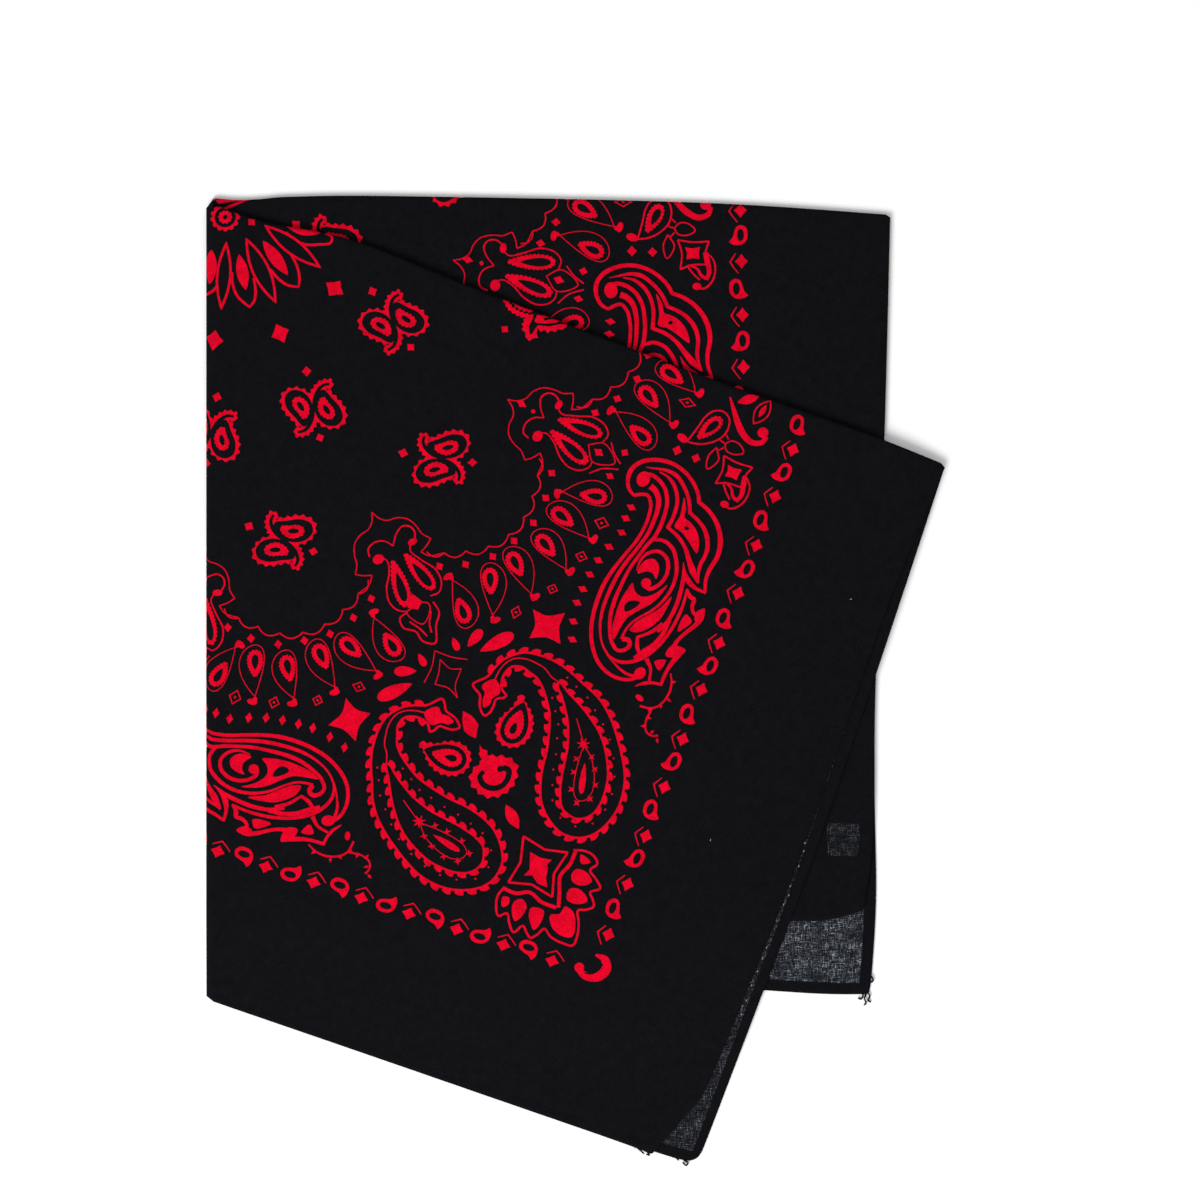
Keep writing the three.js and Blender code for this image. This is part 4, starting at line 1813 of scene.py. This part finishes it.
def inside_turns(outline: np.ndarray, points: np.ndarray) -> np.ndarray:
    """How often a closed outline runs round each point.

    Args:
        outline: complex points of the outline.
        points: complex points to test.

    Returns:
        Winding numbers, above 0 inside an anticlockwise outline.
    """
    start, stop = outline[:, None], np.roll(outline, -1)[:, None]
    side = (np.conj(stop - start) * (points - start)).imag
    up = (start.imag <= points.imag) & (stop.imag > points.imag) & (side > 0)
    down = (start.imag > points.imag) & (stop.imag <= points.imag) & (side < 0)
    return up.sum(axis=0) - down.sum(axis=0)


def cut_mesh(
    region: np.ndarray, inner: np.ndarray, shapes: Sequence[tuple[np.ndarray, int]],
    bare: Sequence[np.ndarray],
) -> CutMesh:
    """Cut a region into triangles along the outlines of its print.

    Args:
        region: closed outline of the cut.
        inner: points inside it.
        shapes: closed outlines with their ink, in the order that they are laid down.
        bare: closed outlines of what shows the reverse of the cloth.

    Returns:
        The triangles inside the region.
    """
    low = complex(region.real.min(), region.imag.min())
    high = complex(region.real.max(), region.imag.max())
    near = [
        (outline, ink)
        for outline, ink in shapes
        if outline.real.max() > low.real and outline.real.min() < high.real
        and outline.imag.max() > low.imag and outline.imag.min() < high.imag
    ]
    rings = [region, *(outline for outline, _ in near), *bare]
    first = np.cumsum([0] + [len(ring) for ring in rings])
    edges = [
        np.stack([np.arange(len(ring)) + at, (np.arange(len(ring)) + 1) % len(ring) + at], axis=1)
        for ring, at in zip(rings, first)
    ]
    every = np.concatenate([*rings, inner])
    vertices = [Vector((z.real, z.imag)) for z in every]
    joined = [tuple(pair) for pair in np.concatenate(edges).tolist()]
    placed, _, faces, *_ = delaunay_2d_cdt(vertices, joined, [], 0, 1e-4, False)
    points = np.array([complex(*p) for p in placed])
    triangles = np.array([f for f in faces if len(f) == 3])
    middle = points[triangles].mean(axis=1)
    kept = inside_turns_in_parts(region, middle) != 0
    triangles, middle = triangles[kept], middle[kept]
    inks = np.zeros(len(triangles), np.int32)
    order = np.argsort(middle.real)
    across = middle.real[order]
    for outline, ink in near:
        a, b = np.searchsorted(across, (outline.real.min(), outline.real.max()))
        part = order[a:b]
        part = part[(middle.imag[part] >= outline.imag.min()) & (middle.imag[part] <= outline.imag.max())]
        if len(part):
            inks[part[inside_turns(outline, middle[part]) > 0]] = ink
    open_cloth = np.zeros(len(triangles), bool)
    for outline in bare:
        open_cloth |= inside_turns_in_parts(outline, middle) != 0
    used, places = np.unique(triangles, return_inverse=True)
    return CutMesh(points[used], places.reshape(triangles.shape), inks, open_cloth)


def inside_turns_in_parts(region: np.ndarray, points: np.ndarray) -> np.ndarray:
    """Winding numbers of many points, taken in parts to save room.

    Args:
        region: closed outline.
        points: complex points to test.

    Returns:
        Winding numbers.
    """
    parts = np.array_split(points, len(points) // CHUNK + 1)
    return np.concatenate([inside_turns(region, part) for part in parts])


def open_edges(faces: np.ndarray) -> np.ndarray:
    """Edges that only one triangle uses, in its own direction.

    Args:
        faces: rows of three indices.

    Returns:
        Rows of two indices.
    """
    edges = np.concatenate([faces[:, (0, 1)], faces[:, (1, 2)], faces[:, (2, 0)]])
    count = int(edges.max()) + 1
    key = edges.min(axis=1).astype(np.int64) * count + edges.max(axis=1)
    _, index, uses = np.unique(key, return_index=True, return_counts=True)
    return edges[index[uses == 1]]


@dataclass(frozen=True)
class Placement:
    """How the plane of the outlines lies in the row frame."""

    x: float
    y: float

    @classmethod
    def from_boxes(cls) -> "Placement":
        """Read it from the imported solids.

        Returns:
            The shift in metres.
        """
        left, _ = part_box("left_fold_outer")
        lowest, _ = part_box("front_under_side_hem")
        return cls(left.x, lowest.y - FRONT_UNDER.bottom[-1][1] * MM)

    def to_frame(self, rows: np.ndarray) -> np.ndarray:
        """Move rows of x, y, z in millimetres into the row frame.

        Args:
            rows: points in the plane of the outlines.

        Returns:
            Points in metres.
        """
        return rows * MM + np.array([self.x, self.y, 0.0])


def mesh_object(name: str, rows: np.ndarray, faces: Sequence[Sequence[int]]) -> bpy.types.Object:
    """Make a smooth mesh in the scene.

    Args:
        name: name of the piece.
        rows: points in metres.
        faces: indices of each face.

    Returns:
        The object, at the origin.
    """
    mesh = bpy.data.meshes.new(name)
    mesh.from_pydata(rows.tolist(), [], [list(f) for f in faces])
    mesh.polygons.foreach_set("use_smooth", [True] * len(mesh.polygons))
    mesh.update()
    made = bpy.data.objects.new(name, mesh)
    bpy.context.scene.collection.objects.link(made)
    return made


def cloth_object(
    name: str, ply: FoldedPly, cut: CutMesh, place: Placement, ink_on_top: bool,
) -> bpy.types.Object:
    """Make the closed thin sheet of a ply.

    Args:
        name: name of the piece.
        ply: lays the cut in place.
        cut: the triangles of the flat cut.
        place: shift into the row frame.
        ink_on_top: True where the printed side is up.

    Returns:
        The object, with the attributes ink and printed on its faces.
    """
    upper, lower = ply.lay(cut.points)
    count = len(cut.points)
    rim = open_edges(cut.faces)
    walls = np.concatenate([
        np.stack([rim[:, 1], rim[:, 0], rim[:, 0] + count], axis=1),
        np.stack([rim[:, 1], rim[:, 0] + count, rim[:, 1] + count], axis=1),
    ])
    faces = np.concatenate([cut.faces, cut.faces[:, ::-1] + count, walls])
    made = mesh_object(name, place.to_frame(np.concatenate([upper, lower])), faces.tolist())
    ink = np.zeros(len(faces), np.float32)
    printed = np.ones(len(faces), np.float32)
    here = slice(0, len(cut.faces)) if ink_on_top else slice(len(cut.faces), 2 * len(cut.faces))
    ink[here] = cut.inks
    # A bare face mixes its reverse with its ink by this share; the front's under ply keeps only 0.4 of its
    # reverse, a darkening that is painted shade.
    printed[: len(cut.faces)] -= cut.bare * ply.kind.bareness_and_shade
    for key, values in (("ink", ink), ("printed", printed)):
        made.data.attributes.new(key, "FLOAT", "FACE").data.foreach_set("value", values)
    return made


def tube(path: np.ndarray, radius: float, sides: int = 5) -> tuple[np.ndarray, list[list[int]]]:
    """A thread as a closed tube along a path, thinner at both ends.

    Args:
        path: rows of x, y, z along the thread.
        radius: of the thread.
        sides: of its cross-section.

    Returns:
        Rows of the points and the faces.
    """
    along = np.gradient(path, axis=0)
    along /= np.maximum(np.linalg.norm(along, axis=1, keepdims=True), 1e-9)
    side = np.cross(along, (0.0, 0.0, 1.0))
    side /= np.maximum(np.linalg.norm(side, axis=1, keepdims=True), 1e-9)
    up = np.cross(side, along)
    turn = np.arange(sides) * 2 * np.pi / sides
    taper = radius * np.where((np.arange(len(path)) % (len(path) - 1)) == 0, 0.45, 1.0)
    ring = side[:, None] * np.cos(turn)[None, :, None] + up[:, None] * np.sin(turn)[None, :, None]
    rows = (path[:, None] + ring * taper[:, None, None]).reshape(-1, 3)
    faces = [
        [k * sides + i, k * sides + (i + 1) % sides, (k + 1) * sides + (i + 1) % sides, (k + 1) * sides + i]
        for k in range(len(path) - 1)
        for i in range(sides)
    ]
    last = (len(path) - 1) * sides
    faces += [list(range(sides))[::-1], [last + i for i in range(sides)]]
    return rows, faces


def smooth_rows(knots: Sequence[tuple[float, float, float]], steps: int = 5) -> np.ndarray:
    """A curve in space through knots, by the same spline as in the plane.

    Args:
        knots: rows of x, y, z.
        steps: points from one knot to the next.

    Returns:
        Rows of x, y, z.
    """
    rows = np.array(knots)
    plan = smooth([(x, y) for x, y, _ in knots], steps=steps)
    height = np.interp(np.linspace(0, len(rows) - 1, len(plan)), np.arange(len(rows)), rows[:, 2])
    return np.stack([plan.real, plan.imag, height], axis=1)


def threads_object(
    name: str, tubes: Sequence[tuple[np.ndarray, list[list[int]]]], place: Placement,
) -> bpy.types.Object:
    """One mesh of many threads.

    Args:
        name: name of the object.
        tubes: rows and faces of each thread.
        place: from the plane of the outlines to the frame.

    Returns:
        The object.
    """
    rows, faces, start = [], [], 0
    for part, part_faces in tubes:
        rows.append(part)
        faces += [[start + i for i in face] for face in part_faces]
        start += len(part)
    return mesh_object(name, place.to_frame(np.concatenate(rows)), faces)


@dataclass(frozen=True)
class HemStitches:
    """The stitches of a hem: short threads that dip into the cloth at both ends."""

    pitch: float = 2.3
    length: float = 1.5
    radius: float = 0.17
    side_inset: float = 3.7
    bottom_inset: float = 1.5
    end_clearance: float = 6.0

    def build(self, ply: FoldedPly) -> list[tuple[np.ndarray, list[list[int]]]]:
        """Lay the stitches of the right and the bottom hem on the ply.

        Args:
            ply: the ply they are sewn in.

        Returns:
            Rows and faces of each stitch.
        """
        surface = ply.surface
        made = []
        for inset, span in ((self.side_inset, ply.height), (self.bottom_inset, ply.width)):
            count = int((span - 2 * self.end_clearance) / self.pitch)
            for k in range(count):
                marks = (self.end_clearance + self.pitch * k + self.length * np.linspace(0, 1, 5)) / span
                on_side = inset == self.side_inset
                u = 1 - inset / ply.width if on_side else marks
                v = marks if on_side else 1 - inset / ply.height
                rows, _ = ply.lay(surface.at(u, v))
                rows[:, 2] += self.radius * np.array([-0.9, 0.5, 0.7, 0.5, -0.9])
                made.append(tube(rows, self.radius))
        return made


# Loose threads at the bottom corners as x, y and height; the first four hang from the back pair
ON_BACK = 4
LOOSE_THREADS = (
    (
        (243.4, -292.5, 0.4), (243.9, -294.6, 0.7), (243.2, -296.4, 1.0), (243.8, -298.2, 0.8),
        (243.0, -299.0, 0.4),
    ),
    ((244.3, -293.9, 0.5), (245.2, -295.6, 0.8), (244.6, -297.1, 0.6), (245.7, -297.9, 0.3)),
    ((242.2, -293.6, 0.5), (242.6, -295.9, 0.9), (241.8, -296.7, 0.5), (240.8, -296.3, 0.3)),
    ((245.0, -287.5, 0.5), (246.2, -288.8, 0.9), (246.4, -290.0, 0.6), (245.6, -290.6, 0.3)),
    (
        (175.0, -354.2, 0.6), (176.6, -356.2, 1.0), (178.0, -357.0, 1.1), (177.3, -358.2, 0.8),
        (175.9, -357.0, 0.5),
    ),
    ((170.0, -352.6, 0.6), (171.6, -354.6, 0.9), (173.6, -355.4, 0.7), (174.6, -356.4, 0.4)),
    (
        (158.5, -349.6, 1.4), (160.2, -351.8, 1.6), (162.4, -352.6, 1.5), (163.6, -354.4, 1.0),
        (162.5, -354.0, 0.6),
    ),
    ((156.0, -349.0, 1.4), (158.4, -350.9, 1.7), (160.8, -352.9, 1.3), (161.8, -353.9, 0.8)),
)
LOOSE_RADIUS = 0.33
PALE_RADIUS = 0.16
PALE_HALF_LENGTH = 0.42
PALE_LIFT = 0.12
# The pale bits as pixels of the photograph with their turn in degrees, and that picture's scale
PIXEL = 0.37
CORNER_PIXEL = (207, 197)
PALE_SPOTS = (
    (804, 842, 60), (803, 850, 70), (798, 865, 65), (789.5, 885, 60), (788, 894, 70), (783, 903, 62),
    (766, 946, 60), (762, 957, 66), (757, 970, 60), (751, 984, 64), (746, 999, 62), (741, 1013, 66),
    (850, 599, 20), (710, 839, 80), (634.5, 1147, 10),
)


def pale_threads(ply: FoldedPly) -> list[tuple[np.ndarray, list[list[int]]]]:
    """Short pale bits of thread along the right edge of the front, and two specks of lint on it.

    Args:
        ply: the front's upper ply.

    Returns:
        Rows and faces of each bit.
    """
    made = []
    for px, py, degrees in PALE_SPOTS:
        centre = complex((px - CORNER_PIXEL[0]) * PIXEL, (CORNER_PIXEL[1] - py) * PIXEL)
        flat = centre + np.linspace(-PALE_HALF_LENGTH, PALE_HALF_LENGTH, 5) * polar(1.0, degrees)
        rows, _ = ply.lay(flat)
        rows[:, 2] += PALE_LIFT
        made.append(tube(rows, PALE_RADIUS))
    return made


# Finishes


class Signal:
    """A shader socket that takes part in sums and products."""

    def __init__(self, finish: "ShaderSheet", socket: bpy.types.NodeSocket) -> None:
        """Wrap a socket.

        Args:
            finish: the node tree that it belongs to.
            socket: an output socket.
        """
        self.finish = finish
        self.socket = socket

    def _math(self, operation: str, first: "Signal | float", second: "Signal | float") -> "Signal":
        """One maths node on two values.

        Args:
            operation: name of the operation.
            first: left value.
            second: right value.

        Returns:
            The result.
        """
        return self.finish.node("ShaderNodeMath", {0: first, 1: second}, operation=operation)

    def __add__(self, other: "Signal | float") -> "Signal":
        """Sum.

        Args:
            other: what is added.

        Returns:
            The result.
        """
        return self._math("ADD", self, other)

    __radd__ = __add__

    def __sub__(self, other: "Signal | float") -> "Signal":
        """Difference.

        Args:
            other: what is taken off.

        Returns:
            The result.
        """
        return self._math("SUBTRACT", self, other)

    def __rsub__(self, other: float) -> "Signal":
        """Difference from a number.

        Args:
            other: the number.

        Returns:
            The result.
        """
        return self._math("SUBTRACT", other, self)

    def __mul__(self, other: "Signal | float") -> "Signal":
        """Product.

        Args:
            other: the factor.

        Returns:
            The result.
        """
        return self._math("MULTIPLY", self, other)

    __rmul__ = __mul__

    def power(self, exponent: float) -> "Signal":
        """Raise to a power.

        Args:
            exponent: the power.

        Returns:
            The result.
        """
        return self._math("POWER", self, exponent)

    def over(self, edge: float, width: float) -> "Signal":
        """A smooth step from 0 to 1.

        Args:
            edge: middle of the step.
            width: its whole width.

        Returns:
            The step.
        """
        inputs = {"Value": self, "From Min": edge - width / 2, "From Max": edge + width / 2}
        return self.finish.node("ShaderNodeMapRange", inputs, interpolation_type="SMOOTHSTEP")


class ShaderSheet:
    """A material's node tree, written as plain calls."""

    def __init__(self, name: str) -> None:
        """Start an empty material.

        Args:
            name: name of the material.
        """
        self.material = bpy.data.materials.new(name)
        self.material.use_nodes = True
        self.tree = self.material.node_tree
        self.tree.nodes.clear()

    def node(
        self, kind: str, inputs: dict | None = None, output: int | str = 0, **settings: object,
    ) -> Signal:
        """Add a node.

        Args:
            kind: type of the node.
            inputs: values or signals by socket name or number.
            output: which output to give back.
            settings: properties of the node.

        Returns:
            The chosen output.
        """
        made = self.tree.nodes.new(kind)
        for key, value in settings.items():
            setattr(made, key, value)
        for key, value in (inputs or {}).items():
            if isinstance(value, Signal):
                self.tree.links.new(value.socket, made.inputs[key])
            else:
                made.inputs[key].default_value = value
        return Signal(self, made.outputs[output])

    def mix_colour(
        self, factor: Signal | float, first: object, second: object, blend: str = "MIX",
    ) -> Signal:
        """Mix two colours.

        Args:
            factor: share of the second.
            first: colour or signal.
            second: colour or signal.
            blend: blend type.

        Returns:
            The mixed colour.
        """
        inputs = {0: factor, 6: first, 7: second}
        return self.node("ShaderNodeMix", inputs, output=2, data_type="RGBA", blend_type=blend)

    def finish(self, colour: object, roughness: object, normal: Signal) -> bpy.types.Material:
        """Close the tree with one principled surface.

        Args:
            colour: base colour.
            roughness: roughness.
            normal: bumped normal.

        Returns:
            The material.
        """
        inputs = {
            "Base Color": colour, "Roughness": roughness, "Normal": normal, "Specular IOR Level": 0.04,
        }
        surface = self.node("ShaderNodeBsdfPrincipled", inputs)
        self.node_link_output(surface)
        return self.material

    def node_link_output(self, surface: Signal) -> None:
        """Join a surface to the material's output.

        Args:
            surface: the shader.
        """
        out = self.tree.nodes.new("ShaderNodeOutputMaterial")
        self.tree.links.new(surface.socket, out.inputs["Surface"])


def linear(red: float, green: float, blue: float) -> tuple[float, float, float, float]:
    """Turn a screen colour into a linear one.

    Args:
        red: 0 to 255.
        green: 0 to 255.
        blue: 0 to 255.

    Returns:
        Linear colour with alpha 1.
    """
    values = (np.array([red, green, blue]) / 255.0).tolist()
    out = [v / 12.92 if v <= 0.04045 else ((v + 0.055) / 1.055) ** 2.4 for v in values]
    return (*out, 1.0)


@dataclass(frozen=True)
class CottonFinish:
    """Printed cotton: two inks on one side, a bleached look of the dark ink on the reverse."""

    black: tuple[float, float, float] = (13.5, 13, 16.5)
    red: tuple[float, float, float] = (206, 2, 34)
    reverse: tuple[float, float, float] = (22, 24, 28)
    fleck: tuple[float, float, float] = (166, 172, 184)

    def build(self, name: str) -> bpy.types.Material:
        """Make the material.

        Args:
            name: name of the material.

        Returns:
            The material.
        """
        sheet = ShaderSheet(name)
        ink = sheet.node("ShaderNodeAttribute", output="Fac", attribute_name="ink")
        printed = sheet.node("ShaderNodeAttribute", output="Fac", attribute_name="printed")
        coordinates = sheet.node("ShaderNodeTexCoord", output="Object")
        grain = sheet.node("ShaderNodeTexNoise", {"Vector": coordinates, "Scale": 1900.0, "Detail": 2.0})
        mottle = sheet.node("ShaderNodeTexNoise", {"Vector": coordinates, "Scale": 300.0, "Detail": 3.0})
        patchy = sheet.node("ShaderNodeTexNoise", {"Vector": coordinates, "Scale": 130.0, "Detail": 2.0})
        along = sheet.node("ShaderNodeMapping", {"Vector": coordinates, "Scale": (300.0, 2900.0, 1.0)})
        across = sheet.node("ShaderNodeMapping", {"Vector": coordinates, "Scale": (2900.0, 300.0, 1.0)})
        weft = sheet.node("ShaderNodeTexNoise", {"Vector": along, "Scale": 1.0, "Detail": 1.0})
        warp = sheet.node("ShaderNodeTexNoise", {"Vector": across, "Scale": 1.0, "Detail": 1.0})
        flat = sheet.mix_colour(ink, linear(*self.black), linear(*self.red))
        # On the front's under ply, printed stays at 0.6 where the reverse shows, which darkens that
        # reverse: painted shade.
        face = sheet.mix_colour(printed, linear(*self.reverse), flat)
        threads = weft.over(0.6, 0.22) * 0.6 + warp.over(0.6, 0.22) * 0.6
        flecks = threads * (0.25 + grain.over(0.56, 0.22) * 0.9) * patchy.over(0.42, 0.5) * (1.0 - printed)
        flecked = sheet.mix_colour(flecks * 0.9, face, linear(*self.fleck))
        shade = (grain * 0.5 + mottle * 0.3 + (weft + warp) * 0.1) * 2.4 - 0.2
        grey = sheet.node("ShaderNodeCombineColor", {0: shade, 1: shade, 2: shade})
        colour = sheet.mix_colour(1.0, flecked, grey, "MULTIPLY")
        height = grain * 0.4 + mottle * 0.2 + (weft + warp) * 0.4
        bump = sheet.node("ShaderNodeBump", {"Height": height, "Distance": 0.0002, "Strength": 0.5})
        return sheet.finish(colour, 0.95, bump)


@dataclass(frozen=True)
class PlainFinish:
    """One even colour, for the floor and the threads."""

    colour: tuple[float, float, float]
    roughness: float = 0.9

    def build(self, name: str) -> bpy.types.Material:
        """Make the material.

        Args:
            name: name of the material.

        Returns:
            The material.
        """
        sheet = ShaderSheet(name)
        inputs = {
            "Base Color": linear(*self.colour), "Roughness": self.roughness, "Specular IOR Level": 0.04,
        }
        sheet.node_link_output(sheet.node("ShaderNodeBsdfPrincipled", inputs))
        return sheet.material


# Surroundings


@dataclass(frozen=True)
class Studio:
    """Pale floor, soft light and the camera straight above the middle of the picture."""

    aim: tuple[float, float] = (145.41, -149.11)
    picture_width: float = 444.0
    lens: float = 100.0
    sensor: float = 36.0
    floor_side: float = 6.0
    floor_drop: float = 0.0002
    floor_colour: tuple[float, float, float] = (250, 250, 250)
    key_energy: float = 34.0
    key_size: float = 1.2
    key_offset: tuple[float, float, float] = (-0.7, -1.2, 1.4)
    sky: float = 0.62

    def build(self, place: Placement) -> None:
        """Set up the floor, the light and the camera.

        Args:
            place: shift into the row frame.
        """
        half = self.floor_side / 2
        rows = np.array([[-half, -half, 0], [half, -half, 0], [half, half, 0], [-half, half, 0]], float)
        floor = mesh_object("floor", rows - np.array([0, 0, self.floor_drop]), [(0, 1, 2, 3)])
        floor.data.materials.append(PlainFinish(self.floor_colour, 1.0).build("pale_floor"))
        scene = bpy.context.scene
        world = bpy.data.worlds.new("soft_light")
        world.use_nodes = True
        world.node_tree.nodes["Background"].inputs["Color"].default_value = (1, 1, 1, 1)
        world.node_tree.nodes["Background"].inputs["Strength"].default_value = self.sky
        scene.world = world
        target = place.to_frame(np.array([[*self.aim, 0.0]]))[0]
        lamp = bpy.data.lights.new("key", "AREA")
        lamp.energy, lamp.shape, lamp.size = self.key_energy, "DISK", self.key_size
        key = bpy.data.objects.new("key", lamp)
        key.location = Vector(target) + Vector(self.key_offset)
        key.rotation_euler = (Vector(target) - key.location).to_track_quat("-Z", "Y").to_euler()
        scene.collection.objects.link(key)
        lens = bpy.data.cameras.new("camera")
        lens.lens, lens.sensor_width = self.lens, self.sensor
        camera = bpy.data.objects.new("camera", lens)
        camera.location = Vector(target) + Vector((0, 0, self.picture_width * MM * self.lens / self.sensor))
        scene.collection.objects.link(camera)
        scene.camera = camera
        scene.view_settings.view_transform = "Standard"


# The whole bandana


PLY_KINDS = (
    PlyKind("back_lower", 0.0, on_floor, False, bareness_and_shade=1.0),
    PlyKind("back_upper", SIZES.pitch, on_floor, True, bareness_and_shade=0.3),
    # On this ply the share 0.4 darkens the strip of reverse beside the front's right edge: painted shade.
    PlyKind("front_under", 0.0, front_base, False, SIZES.fold_radius, SIZES.pitch, "back_upper", 0.4, 5.0),
    PlyKind("front_upper", SIZES.pitch, front_base, True, SIZES.left_reach, 0.0, "back_lower"),
)
REPLACED = {
    "back_lower": (),
    "back_upper": (),
    "front_under": ("left_fold_inner",),
    "front_upper": ("left_fold_outer",),
}
CUT_SIDE = round(SIZES.side / 2 * MM, 4)


def trimmings(plies: dict[str, FoldedPly], place: Placement) -> dict[str, list[bpy.types.Object]]:
    """Make the stitches and the threads.

    Args:
        plies: the plies, by name.
        place: from the plane of the outlines to the frame.

    Returns:
        The pieces on each ply.
    """
    front, back = plies["front_upper"], plies["back_upper"]
    loose = [tube(smooth_rows(knots), LOOSE_RADIUS) for knots in LOOSE_THREADS]
    made = {
        "front_upper": [
            threads_object("front_hem_stitches", HemStitches().build(front), place),
            threads_object("front_pale_threads", pale_threads(front), place),
        ],
        "back_upper": [threads_object("back_hem_stitches", HemStitches().build(back), place)],
        "back_lower": [threads_object("back_loose_threads", loose[:ON_BACK], place)],
        "front_under": [threads_object("front_loose_threads", loose[ON_BACK:], place)],
    }
    dark = PlainFinish((21, 19.5, 22)).build("sewing_thread")
    pale = PlainFinish((150, 148, 150)).build("pale_thread")
    for pieces in made.values():
        for piece in pieces:
            piece.data.materials.append(pale if "pale" in piece.name else dark)
            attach(piece, "root")
            LOG.info("%s: %d faces", piece.name, len(piece.data.polygons))
    return made


def main() -> None:
    """Build the pieces in order, then set up the surroundings."""
    logging.basicConfig(level=logging.INFO, format="%(message)s")
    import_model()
    place = Placement.from_boxes()
    cotton = CottonFinish().build("printed_cotton")
    prints = {
        "front": FRONT_PRINT.placed(quarter_print(False)), "back": BACK_PRINT.placed(quarter_print(True)),
    }
    plies = {kind.name: FoldedPly(kind) for kind in PLY_KINDS}
    on_ply = trimmings(plies, place)
    for kind in PLY_KINDS:
        ply = plies[kind.name]
        region = ply.outline()
        cut = cut_mesh(region, ply.inner_points(), prints[kind.name.split("_")[0]], ply.bare_outlines())
        made = cloth_object(f"{kind.name}_cloth", ply, cut, place, kind.rolls_over_top)
        made.data.materials.append(cotton)
        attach(made, "root")
        parts = [f"{kind.name}_{part}" for part in ("ply", "side_hem", "bottom_hem")]
        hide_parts(*parts, *REPLACED[kind.name])
    Studio().build(place)


if __name__ == "__main__":
    main()
